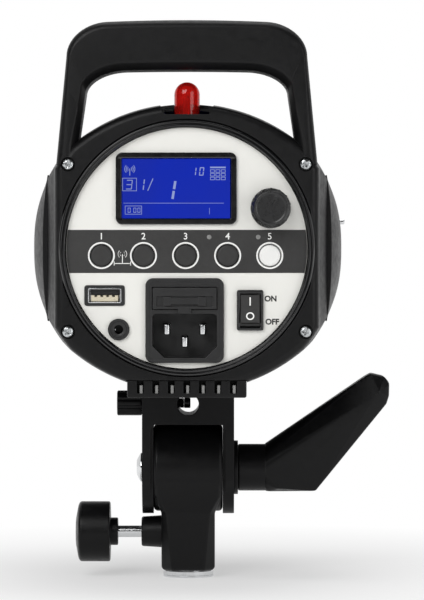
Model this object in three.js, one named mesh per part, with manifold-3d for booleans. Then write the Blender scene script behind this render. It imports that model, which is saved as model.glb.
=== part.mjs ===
// A compact studio flash head on its tilting stand bracket.
// Millimetres, +Z up. X is to the right as seen from behind, and the lamp points along +Y.
// The origin is the centre of the stand socket's mouth, on the socket's axis.

import * as THREE from 'three';
import { mergeVertices } from 'three/addons/utils/BufferGeometryUtils.js';
import { ConvexGeometry } from 'three/addons/geometries/ConvexGeometry.js';
import Module from 'manifold-3d';

const wasm = await Module();
wasm.setup();

// Counts of sides and steps

const bigSides = 48;
const midSides = 28;
const smallSides = 16;
const pinSides = 10;
const cornerSteps = 3;
const fluteSides = 8;
const domeSteps = 4;
const flashRingSteps = 16;

// Clearances between pieces, and how far a cutting tool runs past a surface

const clearance = 0.3;
const overrun = 2;

// Stand socket

const socketBoreRadius = 8.2;
const linerWall = 1.0;
const linerFlangeRadius = 10.4;
const linerFlangeThickness = 2.7;
const socketDepth = 32;

// Tilt head

const columnHalfWidth = 11;
const columnHalfDepth = 12;
const columnFacetHalfWidth = 6.6;
const columnEdgeChamfer = 1.1;
const columnTop = 27;
const shoulderHeight = 7;
const knuckleRadius = 18;
const knuckleHalfWidth = 13.95;
const knuckleEdgeChamfer = 1.4;

// Tilt bolt

const tiltBoltRadius = 4;
const tiltBoltHeadRadius = 6;
const tiltBoltHeadHeight = 2.4;
const tiltBoltDomeShares = [[0, 0], [0.5, 0.125], [0.8, 0.5], [1, 0.875], [1, 1]];
const boltRoofWall = 8.7;

// Clamp that holds the stand's spigot

const clampHeight = 18.5;
const clampScrewRadius = 2.4;
const clampPadLength = 2.6;
const clampBossRadius = 6.1;
const clampBossRootRadius = 6.9;
const clampBossReach = 19.3;
const clampRodShown = 9.7;
const clampHubRadius = 5.7;
const clampHubLength = 3.2;
const clampKnobRadius = 12.4;
const clampKnobLength = 14.4;
const clampKnobCrown = 3.2;
const clampKnobEdge = 1.2;

// Yoke

const cheekThickness = 4.6;
const cheekDrop = 19;
const yokeHalfDepth = 15;
const yokeLip = 3.9;
const yokeRoof = 0.9;
const umbrellaBoreRadius = 4.4;

// Umbrella lock

const umbrellaScrewRadius = 2.1;
const umbrellaPadLength = 2.4;
const umbrellaTipReach = 0.9;
const umbrellaKnobRadius = 5.2;
const umbrellaKnobLength = 10.2;
const umbrellaKnobEdge = 0.9;

// Tilt lever

const leverWasherRadius = 11.1;
const leverWasherThickness = 1.1;
const leverHubRadius = 7;
const leverHubLength = 10;
const leverHubSides = 12;
const leverBarrelRadius = 9.65;
const leverBarrelLength = 12.8;
const leverReach = 82.9;
const leverRise = 39.1;
const leverEdgeHalfDepth = 4.6;
const leverRidgeHalfDepth = 8.2;
const leverBoltReach = 9;
const leverBarrelShare = 0.3;

// Foot plate

const footHalfWidth = 23.3;
const footFront = 22;
const footMinimum = 1.4;
const footSlotCount = 7;
const footSlotPitch = 6.05;
const footSlotWidth = 2.3;
const footSlotDepth = 8;
const footSlotFloor = 2;
const footApronInset = 1;
const footNotchWall = 1.3;

// Things on the rear panel

const buttonRadius = 4.1;
const buttonCount = 5;
const buttonPitch = 16.4;
const buttonRowX = -0.5;
const buttonRowZ = -2.9;
const buttonProud = 1.1;
const buttonStemRadius = 2;
const buttonEdge = 0.4;
const buttonCollar = 0.9;
const buttonCollarThickness = 1;
const buttonTravel = 0.8;

const bezelWidth = 47.1;
const bezelHeight = 28;
const bezelCorner = 2.5;
const bezelThickness = 1;
const bezelX = -4.15;
const bezelRise = 8;
const screenWidth = 42;
const screenHeight = 23;
const screenLift = 0.7;
const displayBorder = 0.3;

const setKnobRadius = 7.9;
const setKnobFaceRadius = 6.4;
const setKnobHeight = 10.5;
const setKnobLift = 1.3;
const setKnobGap = 5.3;
const setKnobRise = -1.6;
const setKnobFlutes = 12;
const setKnobFluteRadius = 1;
const setKnobSocketDepth = 7;
const setShaftRadius = 3;
const setKnobTravel = 0.8;
const encoderHalfWidth = 5.5;
const encoderFloor = 2.4;

const inletWidth = 30.6;
const inletHeight = 33;
const inletCorner = 3;
const inletX = -0.85;
const inletGap = 4.7;
const inletPlate = 1.5;
const inletBodyWall = 0.8;
const inletDepth = 19;
const recessWidth = 25.2;
const recessHeight = 17.3;
const recessChamfer = 4.6;
const recessFloorGap = 1.9;
const recessDepth = 15;
const bladeSpacing = 14;
const bladeWidth = 2;
const bladeHeight = 4;
const bladeRise = 2.35;
const earthDrop = 2.55;
const bladeRecess = 4;
const bladeTail = 6;
const drawerWidth = 25.5;
const drawerHeight = 8.9;
const drawerTop = 3.4;
const drawerDepth = 17.6;
const drawerTabWidth = 5.1;
const drawerTabHeight = 1.5;
const drawerTabThickness = 0.7;
const fuseSetback = 7;
const fuseRadius = 2.5;
const fuseLength = 20;

const usbWidth = 13;
const usbHeight = 5.8;
const usbWall = 0.4;
const usbProud = 0.7;
const usbTongueInset = 0.8;
const usbTongueHeight = 1.8;
const usbSide = 9.4;
const usbDrop = 3.9;
const jackNutRadius = 4.2;
const jackBarrelRadius = 3.2;
const jackBoreRadius = 1.8;
const jackNutHeight = 1.6;
const jackDepth = 12;
const jackFloor = 2.4;
const jackSide = 6.2;
const jackDrop = 6.1;

const rockerWidth = 10.4;
const rockerHeight = 15.8;
const rockerFlange = 1.3;
const rockerLip = 0.6;
const rockerWall = 0.6;
const rockerDepth = 12;
const rockerPivotDepth = 2.6;
const rockerKeyHalfLength = 5.5;
const rockerKeyProud = 0.3;
const rockerKeyDish = 1;
const rockerKeyRoot = 2.6;
const rockerSide = 5;
const rockerDrop = 4.6;
const rockerTilt = 10;

// Rear panel, its ring and the frame round it

const panelMargin = 0.25;
const panelThickness = 2.5;
const ringWidth = 2.6;
const ringProud = 1;
const ringGroove = 0.5;
const frameLedge = 1.5;
const frameRim = 6;
const frameShoulder = 10;
const frameSideWall = 1.4;
const frameDepth = 22;
const frameEdge = 1.2;
const frameLedgeThickness = 3.7;
const crownExcess = 14;
const screwSideInset = 5.3;
const screwHeight = 32.6;
const screwHeadRadius = 2.2;
const screwHeadHeight = 1.8;
const screwCountersinkRadius = 2.8;
const screwShankRadius = 1.4;
const screwSlotLength = 2.6;
const screwSlotDepth = 0.8;
const screwLength = 30;
const screwSlotWidth = 0.8;
const screwBossRadius = 4.2;
const screwBossFloor = 2.4;

// Carrying handle

const handleTopRise = 32.7;
const handleGripHeight = 19.3;
const handleShoulderInset = 4.6;
const handleLegWidth = 7.4;
const handleEdge = 2.5;
const handleCornerDrop = 13;
const handleCornerRun = 16;
const handleInnerDropShare = 0.7;

// Barrel

const rearToSocket = 80;
const shellWall = 2.4;
const shellProud = 0.5;
const shellCornerProud = 1.5;
const sideFlatProud = 2.9;
const coverProud = 7.5;
const coverEdge = 0.5;
const coverRearInset = 5;
const coverSwell = 33;
const coverNoseInset = 2;
const coverSwellShare = 0.65;
const ventCount = 9;
const ventWidth = 2.4;
const ventPitch = 7;
const ventHalfHeight = 14;
const ventWindowHalfHeight = 19;
const ventWindowLow = 2.4;
const ventWindowInset = 9.5;

// Red slave lens

const domeRadius = 5;
const domeHeight = 10.2;
const domeWall = 1.1;
const domeNotchDepth = 1.6;
const domeNotchHalfWidth = 10.5;
const domeNotchFloor = 2.2;
const domeSetback = 12;
const domeNotchRear = 2.5;

// Front

const frontLength = 15.7;
const frontFloor = 3;
const frontRimWall = 4;
const mountRadius = 50;
const mountWall = 3.5;
const mountOpeningRadius = 41;
const mountLength = 24.4;
const mountFlange = 2.6;
const mountLip = 4;
const mountNotchWidth = 20;
const mountNotchDepth = 4.5;
const mountNotches = 3;
const plateThickness = 2;
const lockPinRadius = 1.2;
const lockPinReach = 68.8;
const lockPinHeight = 11.7;
const lockPinHeadRadius = 2.2;
const lockPinHeadLength = 2.6;
const lockTravel = 5;

// Lamp and flash tube

const lampBaseRadius = 13;
const lampBaseLength = 14;
const lampBulbRadius = 15.2;
const lampNeckRadius = 10.5;
const lampNeckLength = 7.4;
const lampBulbLength = 30;
const lampSocketWall = 1.6;
const lampSocketLength = 19;
const lampSocketFlange = 3;
const lampSocketLip = 1;
const flashRingRadius = 26.5;
const flashTubeRadius = 3.2;
const flashRingLift = 18;
const flashLegDepth = 5;
const flashGapShare = 0.08;

// Inside the barrel

const boardThickness = 1.6;
const boardSetback = 14;
const boardHalfWidth = 41;
const boardTop = 26;
const boardLowEdge = 23;
const switchHalfWidth = 3;
const switchHeight = 4;
const chassisThickness = 1.5;
const chassisDrop = 26;
const chassisRear = 8;
const chassisFrontInset = 4;
const capacitorRadius = 17.4;
const capacitorLength = 72;
const capacitorX = -26;
const capacitorRear = 33;
const capacitorEdge = 1;
const powerBoardHalfWidth = 37;
const powerBoardDrop = 5;
const powerBoardRear = 13;
const powerBoardLength = 112;
const powerBoardNoseRoom = 17;
const capacitorNoseRoom = 5;
const standoffRadius = 3;
const standoffInset = 8;
const transformerWidth = 34;
const transformerHeight = 9;
const transformerLength = 42;
const fanSize = 50;
const fanThickness = 15;
const fanBladeRadius = 22;
const fanHubRadius = 8;
const fanBladeCount = 7;
const fanBladeThickness = 1.6;
const fanBladeWidth = 8;
const fanBladeTurn = 30;
const fanHubLength = 9;
const fanArmCount = 3;
const fanArmWidth = 4;
const fanArmThickness = 2.5;
const fanSetback = 12;
const fanPinRadius = 1.6;

// Solids

function closedBody(geometry) {
  const bare = new THREE.BufferGeometry();
  const loose = geometry.index ? geometry.toNonIndexed() : geometry;
  bare.setAttribute('position', loose.getAttribute('position').clone());
  const merged = mergeVertices(bare);
  const corners = merged.index.array;
  const kept = [];
  for (let i = 0; i < corners.length; i += 3) {
    const [a, b, c] = [corners[i], corners[i + 1], corners[i + 2]];
    if (a !== b && b !== c && c !== a) {
      kept.push(a, b, c);
    }
  }
  merged.setIndex(kept);
  return merged;
}

function solid(geometry) {
  const body = closedBody(geometry);
  return new wasm.Manifold(new wasm.Mesh({
    numProp: 3,
    vertProperties: body.getAttribute('position').array,
    triVerts: new Uint32Array(body.index.array),
  }));
}

function surface(body) {
  const mesh = body.getMesh();
  const geometry = new THREE.BufferGeometry();
  geometry.setAttribute('position', new THREE.BufferAttribute(mesh.vertProperties, 3));
  geometry.setIndex(new THREE.BufferAttribute(mesh.triVerts, 1));
  return geometry;
}

function joined(first, ...others) {
  return others.reduce((whole, piece) => whole.add(piece), first);
}

function cut(first, ...others) {
  return others.reduce((whole, piece) => whole.subtract(piece), first);
}

// Turns +Z of a drawn shape to the named axis, and the shape's own x and y to the other two.
const axisTurns = {
  x: new THREE.Matrix4().makeBasis(
    new THREE.Vector3(0, 1, 0), new THREE.Vector3(0, 0, 1), new THREE.Vector3(1, 0, 0)),
  y: new THREE.Matrix4().makeBasis(
    new THREE.Vector3(1, 0, 0), new THREE.Vector3(0, 0, 1), new THREE.Vector3(0, -1, 0)),
  z: new THREE.Matrix4(),
};

// Extrudes a shape from one place to another along an axis.
// The shape's x and y are Y and Z for axis x, X and Z for axis y, and X and Y for axis z.
function prism(shape, axis, from, to, steps = cornerSteps) {
  const geometry = new THREE.ExtrudeGeometry(shape, {
    depth: to - from, bevelEnabled: false, curveSegments: steps,
  });
  geometry.applyMatrix4(axisTurns[axis]);
  const start = axis === 'y' ? to : from;
  const shift = { x: [start, 0, 0], y: [0, start, 0], z: [0, 0, start] }[axis];
  geometry.translate(...shift);
  return geometry;
}

// Extrudes a shape along Y with its two end edges bevelled.
function bevelledPrism(shape, from, to, bevel, steps = cornerSteps) {
  const geometry = new THREE.ExtrudeGeometry(shape, {
    depth: to - from - 2 * bevel, bevelEnabled: true, bevelThickness: bevel, bevelSize: bevel,
    bevelOffset: -bevel, bevelSegments: 1, curveSegments: steps,
  });
  geometry.applyMatrix4(axisTurns.y);
  geometry.translate(0, to - bevel, 0);
  return geometry;
}

// Turns a profile of [radius, place along the axis] pairs round an axis.
function turned(profile, axis, sides) {
  const points = profile.map(([radius, along]) => new THREE.Vector2(radius, along));
  const geometry = new THREE.LatheGeometry(points, sides);
  if (axis === 'x') {
    geometry.rotateZ(-Math.PI / 2);
  }
  if (axis === 'z') {
    geometry.rotateX(Math.PI / 2);
  }
  return geometry;
}

function rod(radius, axis, from, to, sides = smallSides) {
  return turned([[0, from], [radius, from], [radius, to], [0, to]], axis, sides);
}

function tube(outer, inner, axis, from, to, sides = smallSides) {
  return turned([[inner, from], [outer, from], [outer, to], [inner, to], [inner, from]], axis, sides);
}

function block(x, y, z) {
  const geometry = new THREE.BoxGeometry(x[1] - x[0], y[1] - y[0], z[1] - z[0]);
  geometry.translate((x[0] + x[1]) / 2, (y[0] + y[1]) / 2, (z[0] + z[1]) / 2);
  return geometry;
}

function moved(geometry, x, y, z) {
  geometry.translate(x, y, z);
  return geometry;
}

function roundedRectangle(centreX, centreY, width, height, corner) {
  const [left, right] = [centreX - width / 2, centreX + width / 2];
  const [low, high] = [centreY - height / 2, centreY + height / 2];
  const shape = new THREE.Shape();
  shape.moveTo(left + corner, low);
  shape.lineTo(right - corner, low);
  shape.absarc(right - corner, low + corner, corner, -Math.PI / 2, 0);
  shape.lineTo(right, high - corner);
  shape.absarc(right - corner, high - corner, corner, 0, Math.PI / 2);
  shape.lineTo(left + corner, high);
  shape.absarc(left + corner, high - corner, corner, Math.PI / 2, Math.PI);
  shape.lineTo(left, low + corner);
  shape.absarc(left + corner, low + corner, corner, Math.PI, Math.PI * 1.5);
  return shape;
}

function polygon(points) {
  return new THREE.Shape(points.map(([x, y]) => new THREE.Vector2(x, y)));
}

// Joins rings of points, each with the same count, into one closed body with flat ends.
// Each ring runs anticlockwise when it is looked at along +Y.
function loft(rings) {
  const count = rings[0].length;
  const positions = rings.flat().flatMap((point) => [point.x, point.y, point.z]);
  const faces = [];
  for (let ring = 0; ring + 1 < rings.length; ring += 1) {
    for (let i = 0; i < count; i += 1) {
      const next = (i + 1) % count;
      const [a, b] = [ring * count + i, ring * count + next];
      faces.push(a, a + count, b, b, a + count, b + count);
    }
  }
  const last = (rings.length - 1) * count;
  const flat = (ring) => ring.map((point) => new THREE.Vector2(point.x, point.z));
  THREE.ShapeUtils.triangulateShape(flat(rings[0]), []).forEach(([a, b, c]) => {
    faces.push(a, b, c);
  });
  THREE.ShapeUtils.triangulateShape(flat(rings[rings.length - 1]), []).forEach(([a, b, c]) => {
    faces.push(last + a, last + c, last + b);
  });
  const geometry = new THREE.BufferGeometry();
  geometry.setAttribute('position', new THREE.Float32BufferAttribute(positions, 3));
  geometry.setIndex(faces);
  return geometry;
}

// The barrel's section: a crown at top and bottom, round corners and flat sides.
// Its points run anticlockwise in X and Z, from the lower end of the right-hand side.
function barrelSection({ height, crown, corner, side }) {
  const crownDrop = height - crown;
  const sine = (corner ** 2 + crownDrop ** 2 - crown ** 2) / (2 * corner * crownDrop);
  const cornerEnd = Math.asin(Math.min(1, Math.max(-1, sine)));
  const sideEnd = Math.min(Math.acos(Math.min(1, side / corner)), cornerEnd);
  const quarter = [];
  for (let i = 0; i <= cornerSteps; i += 1) {
    const turn = sideEnd + (cornerEnd - sideEnd) * (i / cornerSteps);
    quarter.push([Math.min(side, corner * Math.cos(turn)), corner * Math.sin(turn)]);
  }
  const crownHalf = corner * Math.cos(cornerEnd);
  const crownSteps = 3 * cornerSteps;
  const crownTurn = Math.asin(Math.min(1, crownHalf / crown));
  for (let i = 1; i <= crownSteps; i += 1) {
    const turn = crownTurn * (1 - i / crownSteps);
    quarter.push([crown * Math.sin(turn), crownDrop + crown * Math.cos(turn)]);
  }
  const mirrored = quarter.slice(0, -1).reverse().map(([x, z]) => [-x, z]);
  const upper = [...quarter, ...mirrored];
  const lower = [...upper].reverse().map(([x, z]) => [x, -z]);
  return [...upper, ...lower];
}

function grown(section, by) {
  return {
    height: section.height + by, crown: section.crown + by,
    corner: section.corner + by, side: section.side + by,
  };
}

function ringAt(section, along) {
  return barrelSection(section).map(([x, z]) => new THREE.Vector3(x, along, z));
}

// Materials

function material(colour, roughness, metalness) {
  return new THREE.MeshStandardMaterial({ color: colour, roughness, metalness });
}

const looks = {
  blackPlastic: () => material(0x1d1d1f, 0.55, 0),
  blackCasting: () => material(0x1b1b1c, 0.5, 0.1),
  glossBlack: () => material(0x0c0c0e, 0.15, 0),
  panelFilm: () => material(0xe9e8e2, 0.45, 0),
  steel: () => material(0xc4c8cc, 0.25, 1),
  zinc: () => material(0xb4b7b8, 0.35, 1),
  brass: () => material(0xb99a55, 0.35, 1),
  screenBlue: () => material(0x1a2fd0, 0.2, 0),
  whitePlastic: () => material(0xf3f3f1, 0.4, 0),
  redLens: () => material(0xc0120c, 0.1, 0),
  greenBoard: () => material(0x1f5b35, 0.5, 0),
  aluminium: () => material(0xc9cbcd, 0.35, 1),
  clearGlass: () => material(0xdfe6ea, 0.05, 0),
  capacitorSleeve: () => material(0x22303c, 0.4, 0),
};

const whole = new THREE.Group();
const tiltFrame = new THREE.Group();
const lampFrame = new THREE.Group();
whole.add(tiltFrame, lampFrame);

function place(group, name, look, body) {
  const geometry = body.isBufferGeometry ? closedBody(body) : surface(body);
  const mesh = new THREE.Mesh(geometry, looks[look]());
  mesh.name = name;
  group.add(mesh);
  return mesh;
}

// Heights of the two frames over the socket's mouth

const tiltHeight = socketDepth + boltRoofWall + tiltBoltRadius + clearance;
const umbrellaHeight = knuckleRadius + clearance + yokeLip + umbrellaBoreRadius;
const yokeTop = umbrellaHeight + umbrellaBoreRadius + yokeRoof;

// Sizes of the rear panel, from what it carries

const bezelZ = buttonRowZ + buttonRadius + bezelRise + bezelHeight / 2;
const inletZ = buttonRowZ - buttonRadius - inletGap - inletHeight / 2;
const cornerReach = (x, z, width, height, corner) =>
  Math.hypot(Math.abs(x) + width / 2 - corner, Math.abs(z) + height / 2 - corner) + corner;
const setKnobX = bezelX + bezelWidth / 2 + setKnobGap + setKnobRadius;
const setKnobZ = bezelZ - bezelHeight / 2 + setKnobRadius + setKnobRise;
const rockerX = inletX + inletWidth / 2 + rockerSide + rockerWidth / 2;
const rockerZ = inletZ + inletHeight / 2 - rockerDrop - rockerHeight / 2;
const usbX = inletX - inletWidth / 2 - usbSide - usbWidth / 2;
const usbZ = inletZ + inletHeight / 2 - usbDrop - usbHeight / 2;
const jackX = inletX - inletWidth / 2 - jackSide - jackNutRadius;
const jackZ = usbZ - usbHeight / 2 - jackDrop - jackNutRadius;
const buttonReach = Math.abs(buttonRowX) + buttonPitch * (buttonCount - 1) / 2 + buttonRadius;
const panelRadius = panelMargin + Math.max(
  cornerReach(inletX, inletZ, inletWidth, inletHeight, inletCorner),
  cornerReach(bezelX, bezelZ, bezelWidth, bezelHeight, bezelCorner),
  cornerReach(rockerX, rockerZ, rockerWidth, rockerHeight, 0),
  cornerReach(usbX, usbZ, usbWidth, usbHeight, 0),
  Math.hypot(setKnobX, setKnobZ) + setKnobRadius,
  Math.hypot(jackX, jackZ) + jackNutRadius,
  buttonReach,
);
const ringInner = panelRadius + clearance;
const ringOuter = ringInner + ringWidth;
const frameBore = ringOuter + clearance;

// Sections of the frame and the barrel, looking along Y

const frameFace = {
  height: frameBore + frameRim,
  crown: frameBore + frameRim + crownExcess,
  corner: frameBore + frameShoulder,
  side: frameBore + frameSideWall,
};
const shellSection = {
  height: frameFace.height + shellProud,
  crown: frameFace.crown + shellCornerProud,
  corner: frameFace.corner + shellCornerProud,
  side: frameFace.side + sideFlatProud,
};
const frameBack = { ...shellSection, side: shellSection.side + coverEdge + clearance };
const shellInside = grown(shellSection, -shellWall);
const frameInside = grown(shellSection, -shellWall - clearance);

const centreHeight = tiltHeight + yokeTop + clearance + footMinimum + clearance + shellSection.height;
tiltFrame.position.z = tiltHeight;
lampFrame.position.z = centreHeight;

// Places along Y, measured from the socket's axis

const rearFace = -rearToSocket;
const panelBack = rearFace + ringProud + panelThickness + frameEdge / 2;
const panelFront = panelBack - panelThickness;
const ledgeFront = panelBack + clearance;
const ledgeBack = ledgeFront + frameLedgeThickness;
const frameEnd = rearFace + frameDepth;
const shellStart = frameEnd + clearance;
const barrelLength = Math.max(
  powerBoardRear + powerBoardLength + powerBoardNoseRoom,
  capacitorRear + capacitorLength + capacitorNoseRoom + lampSocketLength,
);
const shellEnd = shellStart + barrelLength;
const boardFront = panelFront + boardSetback;

const linerOuter = socketBoreRadius + linerWall;

// Tilt head: an eight-sided column that widens into a round knuckle, with a boss for the clamp

function columnRing(height, halfWidth, halfDepth, facet) {
  const side = halfDepth * (facet / halfWidth);
  const corners = [
    [halfWidth, -side], [halfWidth, side], [facet, halfDepth], [-facet, halfDepth],
    [-halfWidth, side], [-halfWidth, -side], [-facet, -halfDepth], [facet, -halfDepth],
  ];
  return corners.map(([x, y]) => [x, y, height]);
}

function columnPart(low, high) {
  const points = [...low, ...high].map(([x, y, z]) => new THREE.Vector3(x, y, z));
  return solid(new ConvexGeometry(points));
}

function tiltHead() {
  const bottom = linerFlangeThickness + clearance;
  const topFacet = knuckleHalfWidth - knuckleEdgeChamfer;
  const shoulderTop = columnTop + shoulderHeight;
  const knuckleDepth = knuckleRadius - knuckleEdgeChamfer;
  const rings = [
    columnRing(bottom, columnHalfWidth - columnEdgeChamfer, columnHalfDepth - columnEdgeChamfer,
      columnFacetHalfWidth),
    columnRing(bottom + columnEdgeChamfer, columnHalfWidth, columnHalfDepth, columnFacetHalfWidth),
    columnRing(columnTop, columnHalfWidth, (columnHalfDepth + knuckleDepth) / 2,
      (columnFacetHalfWidth + columnHalfWidth) / 2),
    columnRing(shoulderTop, knuckleHalfWidth, knuckleDepth, topFacet),
    columnRing(tiltHeight, knuckleHalfWidth, knuckleRadius, topFacet),
  ];
  const column = [];
  for (let i = 0; i + 1 < rings.length; i += 1) {
    column.push(columnPart(rings[i], rings[i + 1]));
  }
  const edge = knuckleEdgeChamfer;
  const knuckle = moved(turned([
    [0, -knuckleHalfWidth], [knuckleRadius - edge, -knuckleHalfWidth],
    [knuckleRadius, edge - knuckleHalfWidth], [knuckleRadius, knuckleHalfWidth - edge],
    [knuckleRadius - edge, knuckleHalfWidth], [0, knuckleHalfWidth],
  ], 'x', bigSides), 0, 0, tiltHeight);
  const boss = moved(turned([
    [0, -clampBossReach], [clampBossRadius, -clampBossReach],
    [clampBossRootRadius, -columnFacetHalfWidth], [0, -columnFacetHalfWidth],
  ], 'x', midSides), 0, 0, clampHeight);
  const boltRadius = tiltBoltRadius + clearance;
  return cut(
    joined(solid(knuckle), ...column, solid(boss)),
    solid(rod(linerOuter + clearance, 'z', -overrun, socketDepth + clearance, midSides)),
    solid(moved(rod(boltRadius, 'x', -knuckleHalfWidth - overrun, knuckleHalfWidth + overrun),
      0, 0, tiltHeight)),
    solid(moved(rod(clampScrewRadius + clearance, 'x', -clampBossReach - overrun, -socketBoreRadius),
      0, 0, clampHeight)),
  );
}

function socketLiner() {
  const sleeve = turned([
    [socketBoreRadius, 0], [linerFlangeRadius, 0], [linerFlangeRadius, linerFlangeThickness],
    [linerOuter, linerFlangeThickness], [linerOuter, socketDepth], [socketBoreRadius, socketDepth],
    [socketBoreRadius, 0],
  ], 'z', midSides);
  const hole = rod(clampScrewRadius + clearance, 'x', -linerOuter - overrun, 0);
  return cut(solid(sleeve), solid(moved(hole, 0, 0, clampHeight)));
}

place(whole, 'tilt_head', 'blackCasting', tiltHead());
place(whole, 'socket_liner', 'steel', socketLiner());

// Clamp: a pad that doesn't turn, the screw behind it, and the knob on the screw

const clampHubFace = -clampBossReach - clampRodShown;
const clampKnobFace = clampHubFace - clampHubLength;
const clampKnobEnd = clampKnobFace - clampKnobLength;
const clampTip = -socketBoreRadius - clearance;

function clampKnob() {
  const profile = [
    [0, clampKnobEnd],
    [clampKnobRadius / 2, clampKnobEnd + clampKnobCrown / 4],
    [clampKnobRadius - clampKnobEdge, clampKnobEnd + clampKnobCrown],
    [clampKnobRadius - clampKnobEdge / 4, clampKnobEnd + clampKnobCrown + clampKnobEdge],
    [clampKnobRadius, clampKnobFace - clampKnobEdge],
    [clampKnobRadius - clampKnobEdge, clampKnobFace],
    [clampHubRadius, clampKnobFace],
    [clampHubRadius, clampHubFace],
    [0, clampHubFace],
  ];
  const socket = rod(clampScrewRadius + clearance, 'x', clampKnobFace, clampHubFace + overrun);
  return cut(solid(turned(profile, 'x', midSides)), solid(socket));
}

place(whole, 'clamp_pad', 'brass', moved(
  rod(clampScrewRadius, 'x', clampTip - clampPadLength, clampTip, pinSides), 0, 0, clampHeight));
place(whole, 'clamp_screw', 'steel', moved(
  rod(clampScrewRadius, 'x', clampKnobFace + clearance, clampTip - clampPadLength - clearance),
  0, 0, clampHeight));
const clampKnobMesh = place(whole, 'clamp_knob', 'blackPlastic', clampKnob());
clampKnobMesh.position.z = clampHeight;

// Yoke: two cheeks and a cross-piece, seen from behind, trimmed to the cheeks' side outline

const cheekInner = knuckleHalfWidth + clearance;
const cheekOuter = cheekInner + cheekThickness;
const crossLow = knuckleRadius + clearance;

function yoke() {
  const fork = polygon([
    [-cheekOuter, -cheekDrop], [-cheekInner, -cheekDrop], [-cheekInner, crossLow],
    [cheekInner, crossLow], [cheekInner, -cheekDrop], [cheekOuter, -cheekDrop],
    [cheekOuter, yokeTop], [-cheekOuter, yokeTop],
  ]);
  const side = new THREE.Shape();
  const cheekCentre = yokeHalfDepth - cheekDrop;
  side.moveTo(yokeHalfDepth, yokeTop);
  side.lineTo(-yokeHalfDepth, yokeTop);
  side.lineTo(-yokeHalfDepth, cheekCentre);
  side.absarc(0, cheekCentre, yokeHalfDepth, Math.PI, Math.PI * 2);
  const boltRadius = tiltBoltRadius + clearance;
  const screwHole = rod(umbrellaScrewRadius + clearance, 'x', -cheekOuter - overrun, 0);
  return cut(
    solid(prism(fork, 'y', -yokeHalfDepth, yokeHalfDepth)).intersect(
      solid(prism(side, 'x', -cheekOuter - overrun, cheekOuter + overrun, midSides / 2))),
    solid(rod(boltRadius, 'x', -cheekOuter - overrun, cheekOuter + overrun)),
    solid(moved(rod(umbrellaBoreRadius, 'y', -yokeHalfDepth - overrun, yokeHalfDepth + overrun),
      0, 0, umbrellaHeight)),
    solid(moved(screwHole, 0, 0, umbrellaHeight)),
  );
}

place(tiltFrame, 'yoke', 'blackCasting', yoke());

// Tilt bolt: a domed head outside the left cheek, and a shank that ends inside the lever

const washerFace = cheekOuter + clearance;
const hubFace = washerFace + leverWasherThickness + clearance;

function tiltBolt() {
  const headFace = -cheekOuter - clearance;
  const top = headFace - tiltBoltHeadHeight;
  const head = tiltBoltDomeShares.map(([across, along]) =>
    [tiltBoltHeadRadius * across, top + tiltBoltHeadHeight * along]);
  return turned([
    ...head, [tiltBoltRadius, headFace], [tiltBoltRadius, hubFace + leverBoltReach],
    [0, hubFace + leverBoltReach],
  ], 'x', smallSides);
}

place(tiltFrame, 'tilt_bolt', 'steel', tiltBolt());
place(tiltFrame, 'lever_washer', 'blackPlastic', tube(leverWasherRadius,
  tiltBoltRadius + clearance, 'x', washerFace, washerFace + leverWasherThickness, midSides));

// Lever: a toothed hub on the bolt, and a barrel over it with a long rising arm

place(tiltFrame, 'lever_hub', 'zinc', tube(leverHubRadius, tiltBoltRadius + clearance, 'x',
  hubFace, hubFace + leverHubLength, leverHubSides));

function tiltLever() {
  const run = leverReach - hubFace;
  // Places along the lever's run and up its rise
  const edgeShares = [
    [0.2, -1], [0.2, 0.94], [0.842, 0.967], [0.878, 1], [0.965, 0.967], [1, 0.898], [0.998, 0.76],
    [0.981, 0.675], [0.513, -0.985],
  ];
  const ridgeShares = [[0.26, -0.85], [0.435, 0.123], [0.869, 0.675], [0.93, 0.8], [0.26, 0.8]];
  const at = ([runShare, riseShare], depth) => {
    const radius = riseShare < 0 || runShare < leverBarrelShare ? leverBarrelRadius : leverRise;
    return new THREE.Vector3(hubFace + run * runShare, depth, radius * riseShare);
  };
  const points = [];
  edgeShares.forEach((share) => {
    points.push(at(share, leverEdgeHalfDepth), at(share, -leverEdgeHalfDepth));
  });
  ridgeShares.forEach((share) => {
    points.push(at(share, leverRidgeHalfDepth), at(share, -leverRidgeHalfDepth));
  });
  const barrel = rod(leverBarrelRadius, 'x', hubFace, hubFace + leverBarrelLength, midSides);
  const bore = rod(leverHubRadius + clearance, 'x', hubFace - overrun,
    hubFace + leverHubLength + clearance, midSides);
  return cut(joined(solid(barrel), solid(new ConvexGeometry(points))), solid(bore));
}

place(tiltFrame, 'tilt_lever', 'blackPlastic', tiltLever());

// Umbrella lock: the same three pieces as the clamp, smaller

const umbrellaKnobFace = -cheekOuter - clearance;
const umbrellaKnobEnd = umbrellaKnobFace - umbrellaKnobLength;

function umbrellaKnob() {
  const profile = [
    [0, umbrellaKnobEnd], [umbrellaKnobRadius - umbrellaKnobEdge, umbrellaKnobEnd],
    [umbrellaKnobRadius, umbrellaKnobEnd + umbrellaKnobEdge],
    [umbrellaKnobRadius, umbrellaKnobFace], [0, umbrellaKnobFace],
  ];
  const socket = rod(umbrellaScrewRadius + clearance, 'x',
    umbrellaKnobFace - umbrellaKnobLength / 2, umbrellaKnobFace + overrun);
  return cut(solid(turned(profile, 'x', smallSides)), solid(socket));
}

place(tiltFrame, 'umbrella_pad', 'brass', rod(umbrellaScrewRadius, 'x',
  umbrellaTipReach - umbrellaPadLength, umbrellaTipReach, pinSides)).position.z = umbrellaHeight;
place(tiltFrame, 'umbrella_screw', 'steel', rod(umbrellaScrewRadius, 'x',
  umbrellaKnobFace - umbrellaKnobLength / 2 + clearance,
  umbrellaTipReach - umbrellaPadLength - clearance, pinSides)).position.z = umbrellaHeight;
place(tiltFrame, 'umbrella_knob', 'blackPlastic', umbrellaKnob()).position.z = umbrellaHeight;

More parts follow.
